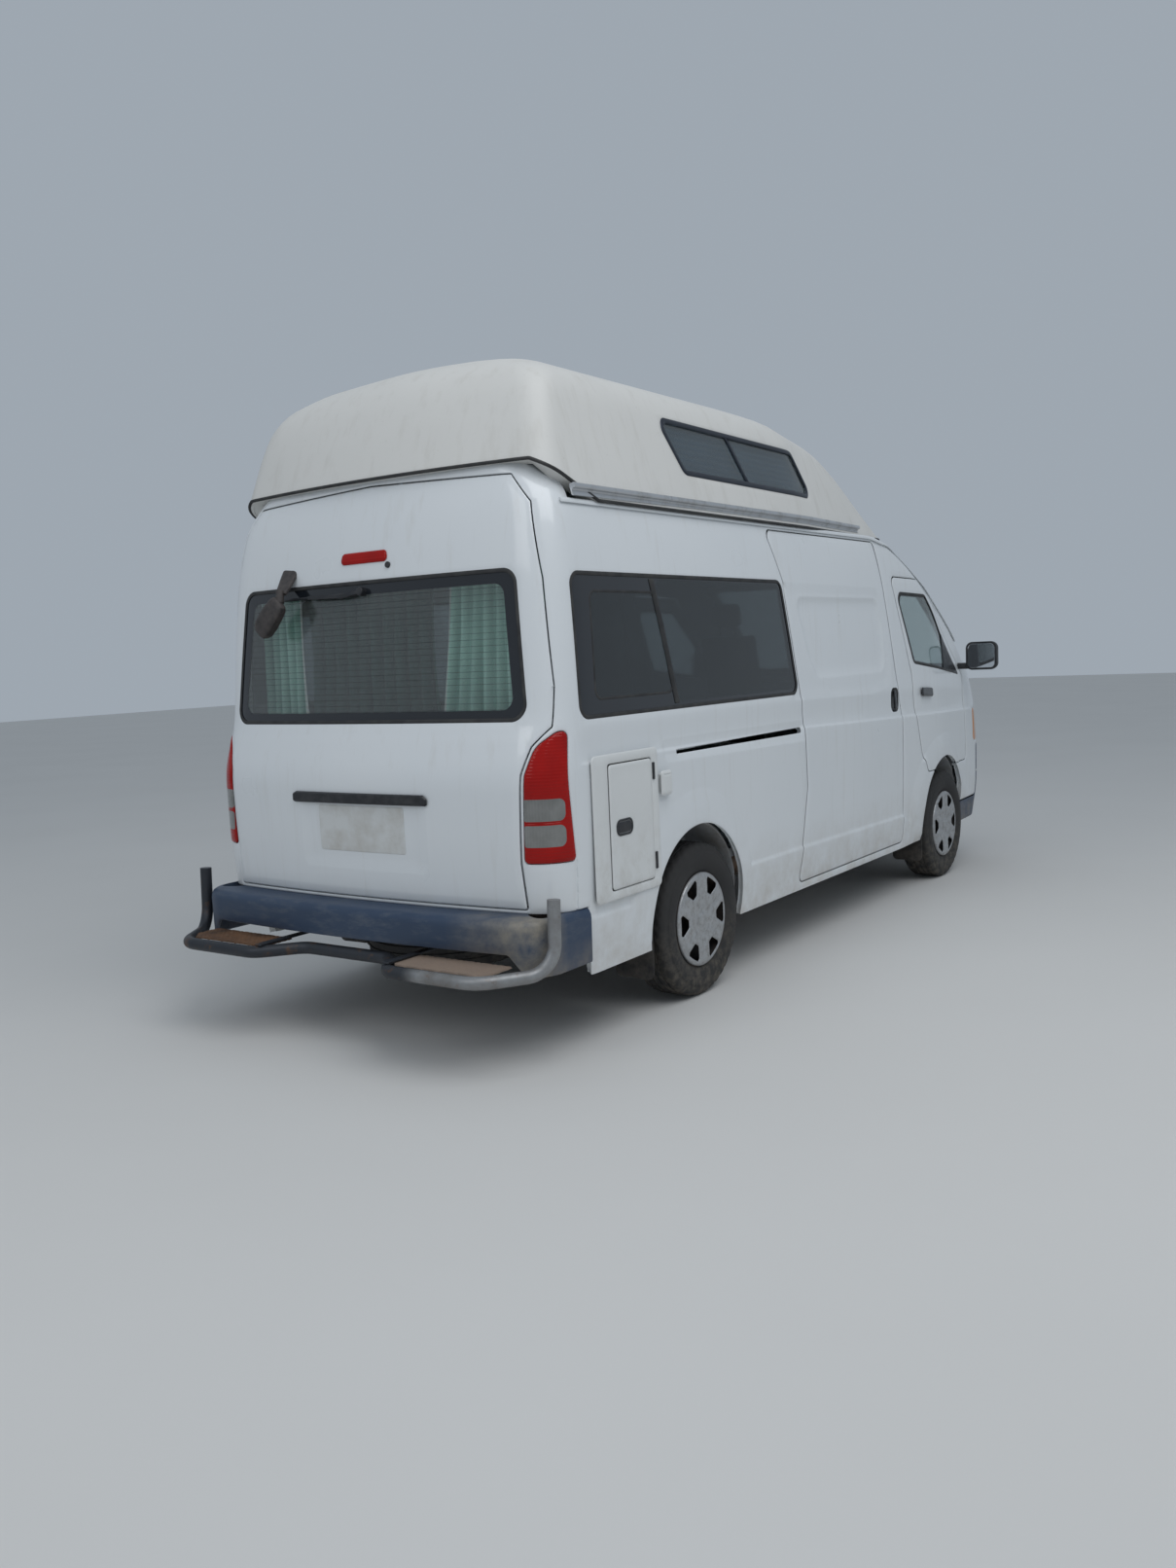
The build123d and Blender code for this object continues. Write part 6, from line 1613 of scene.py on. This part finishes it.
finished("windscreen_wipers", *joined_up(*wiper_parts), [satin_black.mat], "van", "black_plastic",
         ["front_wipers"])

# Curtains: three gathered cloths behind the hatch glass on one thin rail, mint green at the sides; the middle
# one is coloured near-black teal, which paints in shade and dark reflection. Each cloth is a grid whose depth
# is a sum of two waves across its width, looser toward the hem.
RAIL_Y, RAIL_Z = 2.215, 1.903
DROP = 0.632
CLOTH_ROWS = 25


def curtain_cloth(left, right, pitch, lean, seed, count):
    """A hanging cloth between two x places: its depth is waves of the pitch and 1.7 times the pitch across,
    with their phase drifting down the drop. The width pulls in by 4 % halfway down, and the right edge
    leans."""
    u, v = np.meshgrid(np.linspace(0, 1, count), np.linspace(0, 1, CLOTH_ROWS))
    x = left + (right - left) * (0.5 + (u - 0.5) * (1 - 0.04 * np.sin(math.pi * v))) + lean * (v - 0.5) * u ** 2
    turn = 2 * math.pi * (right - left) / pitch * u + seed
    depth = 0.6 + 0.4 * v
    fine = 0.74 * np.sin(turn + 0.7 * np.sin(3.1 * v + seed))
    y = RAIL_Y - 0.002 + 0.0175 * depth * (fine + 0.26 * np.sin(turn / 1.7 + 1.9 * v))
    z = RAIL_Z - 0.009 - v * (DROP - 0.006 * np.sin(turn * 0.5) ** 2)
    points = np.stack([x, y, z], -1).reshape(-1, 3)
    i, j = np.meshgrid(np.arange(CLOTH_ROWS - 1), np.arange(count - 1), indexing="ij")
    a = i * count + j
    faces = [np.stack(corners, -1).reshape(-1, 3)
             for corners in ([a, a + count, a + 1], [a + 1, a + count, a + count + 1])]
    faces = np.concatenate(faces)
    run = np.linalg.norm(np.diff(np.stack([x, y, z], -1), axis=1), axis=-1).sum(1).mean()
    return thick(points, faces, 0.001), run


def curtain_shade(name, dark, light):
    """Woven cloth: a fine weave and broad clouds, with painted shade in the folds: the deeper a point lies
    behind the glass, the darker its colour.
    """
    shade = Shade(name, roughness=0.95, Specular_IOR_Level=0.1)
    weave = shade.noise(1.0, 2.0, 0.5, shade.stretched((700, 700, 90)))
    cloud = shade.noise(5.0, 5.0, 0.6)
    # Painted shade: the fold valleys, deeper behind the glass, are coloured darker than the crests.
    fading_and_fold_shade = shade.ramp(shade.axis("Y"), 2.198, 2.228)
    tone = shade.mix(shade.maths("MULTIPLY", shade.maths("ADD", weave, cloud), fading_and_fold_shade), dark, light)
    shade.colour(tone)
    shade.bump(weave, 0.0004, 0.5)
    return shade, tone


mint, tone = curtain_shade("mint_curtain", (0.16, 0.38, 0.31), (0.58, 0.9, 0.78))
leaning = mint.maths("ADD", mint.axis("X"), mint.maths("MULTIPLY", mint.axis("Z"), 0.1108))
from_edge = mint.maths("ADD", leaning, 0.1102)
near_right = mint.maths("MULTIPLY", mint.ramp(from_edge, -0.026, -0.022), mint.ramp(mint.axis("X"), 0.01, 0.0))
near_left = mint.maths("MULTIPLY", mint.ramp(mint.axis("X"), 0.546, 0.542),
                       mint.ramp(mint.axis("X"), 0.0, 0.01))
mint.colour(mint.mix(mint.maths("ADD", near_right, near_left), tone, (0.86, 0.87, 0.84)))
# Painted shade and reflection: the middle cloth is coloured near black where the middle of the glass looks
# dark.
teal, _ = curtain_shade("teal_curtain", (0.006, 0.016, 0.016), (0.03, 0.07, 0.062))
rail_line = np.column_stack([np.linspace(-0.86, 0.86, 3), np.full(3, RAIL_Y), np.full(3, RAIL_Z)])
rail = swept(rail_line, (0, 1, 0), (0, 0, 1), disc(0.0088, 16))
finished("curtain_rail", *rail, [trim_silver.mat], "van", None, ["rear_curtains"])
# name, left and right x, pitch of the folds, lean, where the waves start, material, points across
curtains = (
    ("curtain_left", 0.52, 0.8, 0.05, 0, 0.4, mint, 150),
    ("curtain_right", -0.8, -0.285, 0.062, 0.07, 2.1, mint, 220),
    ("curtain_middle", -0.25, 0.505, 0.072, 0, 1.2, teal, 300),
)
for name, left, right, pitch, lean, seed, shade, count in curtains:
    mesh, run = curtain_cloth(left, right, pitch, lean, seed, count)
    cloth = finished(name, *mesh, [shade.mat], "van", "curtain_cloth", ["rear_curtains"], 80)

# Front seats: two grey cloth seats with headrests, on dark steel stands with headrest posts of the same steel;
# a plain guess. Cushion, back and headrest are foam forms blown up by a cloth simulation, with their sewn
# channels pressed in after.
SEAT_MIDDLE = 0.4
seat_cloth = Shade("seat_cloth", roughness=0.92, Sheen_Weight=0.25)
seat_cloth.clouded((0.06, 0.064, 0.072), (0.105, 0.108, 0.115), 5.0, 6.0, 0.65)
seat_cloth.bump(seat_cloth.noise(900.0, 2.0), 0.0004, 0.5)
seat_steel = Shade("seat_steel", roughness=0.5, metallic=0.3)
seat_steel.clouded((0.02, 0.021, 0.023), (0.05, 0.048, 0.046), 12.0, 6.0, 0.7)


def swelled(name, outline, half_width, swell, facing, channels):
    """A stuffed form's points and faces. The (y, z) outline is carried across the seat, remeshed at 8.5 mm, and
    blown up by cloth under a pressure of 4, with no point moved by more than swell. Each channel is a line in
    (x, the axis across the seat's face), along which the side that faces so is pressed 6 mm in over 12 mm."""
    loop = inset(rounded(outline, 0.03), 0.6 * swell)
    mesh = bpy.data.meshes.new(name)
    points, faces = prism(loop, 0, SEAT_MIDDLE - half_width + 0.6 * swell,
                          SEAT_MIDDLE + half_width - 0.6 * swell, 0.02)
    mesh.from_pydata(np.asarray(points).tolist(), [], [tuple(face) for face in faces])
    obj = bpy.data.objects.new(name, mesh)
    bpy.context.scene.collection.objects.link(obj)
    voxels = obj.modifiers.new("voxels", "REMESH")
    voxels.voxel_size = 0.0085
    mesh = bpy.data.meshes.new_from_object(obj.evaluated_get(bpy.context.evaluated_depsgraph_get()))
    obj.modifiers.remove(voxels)
    obj.data = mesh
    flat = np.empty(len(mesh.vertices) * 3)
    mesh.vertices.foreach_get("co", flat)
    start = flat.reshape(-1, 3).copy()
    cloth = obj.modifiers.new("cloth", "CLOTH")
    cloth.settings.use_pressure = True
    cloth.settings.uniform_pressure_force = 4
    cloth.settings.effector_weights.gravity = 0
    for frame_number in range(1, 21):
        bpy.context.scene.frame_set(frame_number)
    blown = obj.evaluated_get(bpy.context.evaluated_depsgraph_get()).to_mesh()
    blown.vertices.foreach_get("co", flat)
    obj.modifiers.remove(cloth)
    bpy.context.scene.frame_set(1)
    move = flat.reshape(-1, 3) - start
    start += move * np.minimum(1, swell / np.maximum(np.linalg.norm(move, axis=1, keepdims=True), 1e-9))
    faces = [tuple(face.vertices) for face in mesh.polygons]
    mesh.vertices.foreach_set("co", start.ravel())
    mesh.update()
    normals = np.empty(len(start) * 3)
    mesh.vertex_normals.foreach_get("vector", normals)
    normals = normals.reshape(-1, 3)
    across = start[:, [0, 2 if abs(facing[1]) > 0.7 else 1]] - (SEAT_MIDDLE, 0)
    for channel in channels:
        near = ease(gap_to(across, there_and_back(np.array(channel))), 0.012, 0.002)
        start -= 0.006 * (near * ease(normals @ facing, 0.3, 0.7))[:, None] * normals
    bpy.data.objects.remove(obj)
    return start, faces


def seams(half, low, high, middle):
    """A pad's channels: one up each side from low to high, and one across at the middle. half holds how far
    from the pad's middle they stand: at low, at high, and where the cross one ends."""
    return [[(-half[0], low), (-half[1], high)], [(half[0], low), (half[1], high)],
            [(-half[2], middle), (half[2], middle)]]


up, forward = np.array([0, 0, 1.0]), np.array([0, -0.985, 0.17])
CUSHION = [(-2.0, 0.938), (-1.445, 0.938), (-1.452, 1.033), (-1.99, 1.048)]
BACK = [(-1.568, 1.045), (-1.445, 1.041), (-1.335, 1.598), (-1.42, 1.608)]
HEADREST = [(-1.415, 1.642), (-1.342, 1.642), (-1.322, 1.798), (-1.394, 1.803)]
cushion_seams = seams((0.145, 0.145, 0.145), -1.97, -1.47, -1.73)
back_seams = seams((0.135, 0.125, 0.13), 1.08, 1.58, 1.33)
stuffed = {
    "seat_cushion": swelled("cushion_form", CUSHION, 0.234, 0.016, up, cushion_seams),
    "seat_back": swelled("back_form", BACK, 0.222, 0.016, forward, back_seams),
    "seat_headrest": swelled("headrest_form", HEADREST, 0.112, 0.01, forward, []),
}
for name, mesh in stuffed.items():
    for side, turned_mesh in hands(*mesh):
        pad = finished(f"{name}_{side}", *turned_mesh, [seat_cloth.mat], "van", "seat_cloth", ["front_seats"],
                       180)
stand = [prism(rounded([(-1.955, 0.884), (-1.475, 0.884), (-1.455, 0.932), (-1.965, 0.932)], 0.008), 0, 0.19,
               0.61, 0.004)]
for x in (0.345, 0.455):
    post = np.linspace((x, -1.387, 1.592), (x, -1.372, 1.665), 3)
    stand.append(swept(post, (1, 0, 0), (0, 0.98, 0.2), disc(0.006, 16)))
stand += [mirrored(*mesh) for mesh in stand]
finished("seat_stands", *joined_up(*stand), [seat_steel.mat], "van", "frame_dark", ["front_seats"])

# Parts kept as the CAD has them, inside and under the van: pressed and cast steel, iron and black plastic. Each
# takes its own worn finish, made of a broad and a fine cloud pattern over a grain, and slightly broken edges.
def weathered(name, clean, dirt, roughness, low, high, metallic=0.0, height=0.0006):
    """A worn finish: a broad cloud pattern between low and high turns the clean colour into the dirt's."""
    shade = Shade(name, roughness, metallic)
    broad = shade.noise(6.0, 8.0, 0.7)
    fine = shade.noise(90.0, 5.0, 0.6)
    grime = shade.ramp(shade.maths("ADD", broad, shade.maths("MULTIPLY", fine, 0.25)), low, high)
    shade.colour(shade.mix(grime, clean, dirt))
    shade.rough(fine, roughness - 0.12, roughness + 0.12)
    shade.bump(fine, height, 0.6)
    return shade.mat


chassis_paint = weathered("chassis_paint", (0.022, 0.023, 0.025), (0.15, 0.105, 0.075), 0.65, 0.5, 0.85)
cast_iron = weathered("cast_iron", (0.1, 0.095, 0.09), (0.13, 0.075, 0.045), 0.62, 0.5, 0.8, 0.5, 0.0012)
exhaust_skin = weathered("exhaust_skin", (0.24, 0.22, 0.2), (0.2, 0.11, 0.06), 0.5, 0.45, 0.8, 0.7)
floor_paint = weathered("cab_floor_paint", (0.42, 0.43, 0.44), (0.26, 0.22, 0.18), 0.6, 0.55, 0.95)
dash_skin = weathered("dash_skin", (0.075, 0.078, 0.084), (0.11, 0.11, 0.11), 0.6, 0.55, 0.95, 0.0, 0.0009)
wheel_rim_skin = weathered("wheel_rim_skin", (0.022, 0.022, 0.023), (0.05, 0.05, 0.05), 0.45, 0.6, 0.95, 0.0,
                           0.0004)
spare_steel = weathered("spare_wheel_steel", (0.3, 0.31, 0.32), (0.22, 0.15, 0.1), 0.5, 0.5, 0.85, 0.4)
kept = (
    (chassis_paint, ("chassis_rails", "drive_shaft", "rear_axle", "front_suspension", "knuckle_left",
                     "knuckle_right", "fuel_tank")),
    (cast_iron, ("engine",)), (exhaust_skin, ("exhaust",)), (dash_skin, ("dashboard",)),
    (floor_paint, ("floor_pan", "seat_platform", "wheel_boxes")),
    (wheel_rim_skin, ("steering_wheel",)), (spare_steel, ("spare_rim",)),
)
for mat, names in kept:
    for name in names:
        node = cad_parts[name]
        node.data.materials.clear()
        node.data.materials.append(mat)
        edge = node.modifiers.new("broken_edges", "BEVEL")
        edge.width = 0.0015
        edge.segments = 2
        edge.limit_method = "ANGLE"
        edge.angle_limit = math.radians(40)
        edge.use_clamp_overlap = True
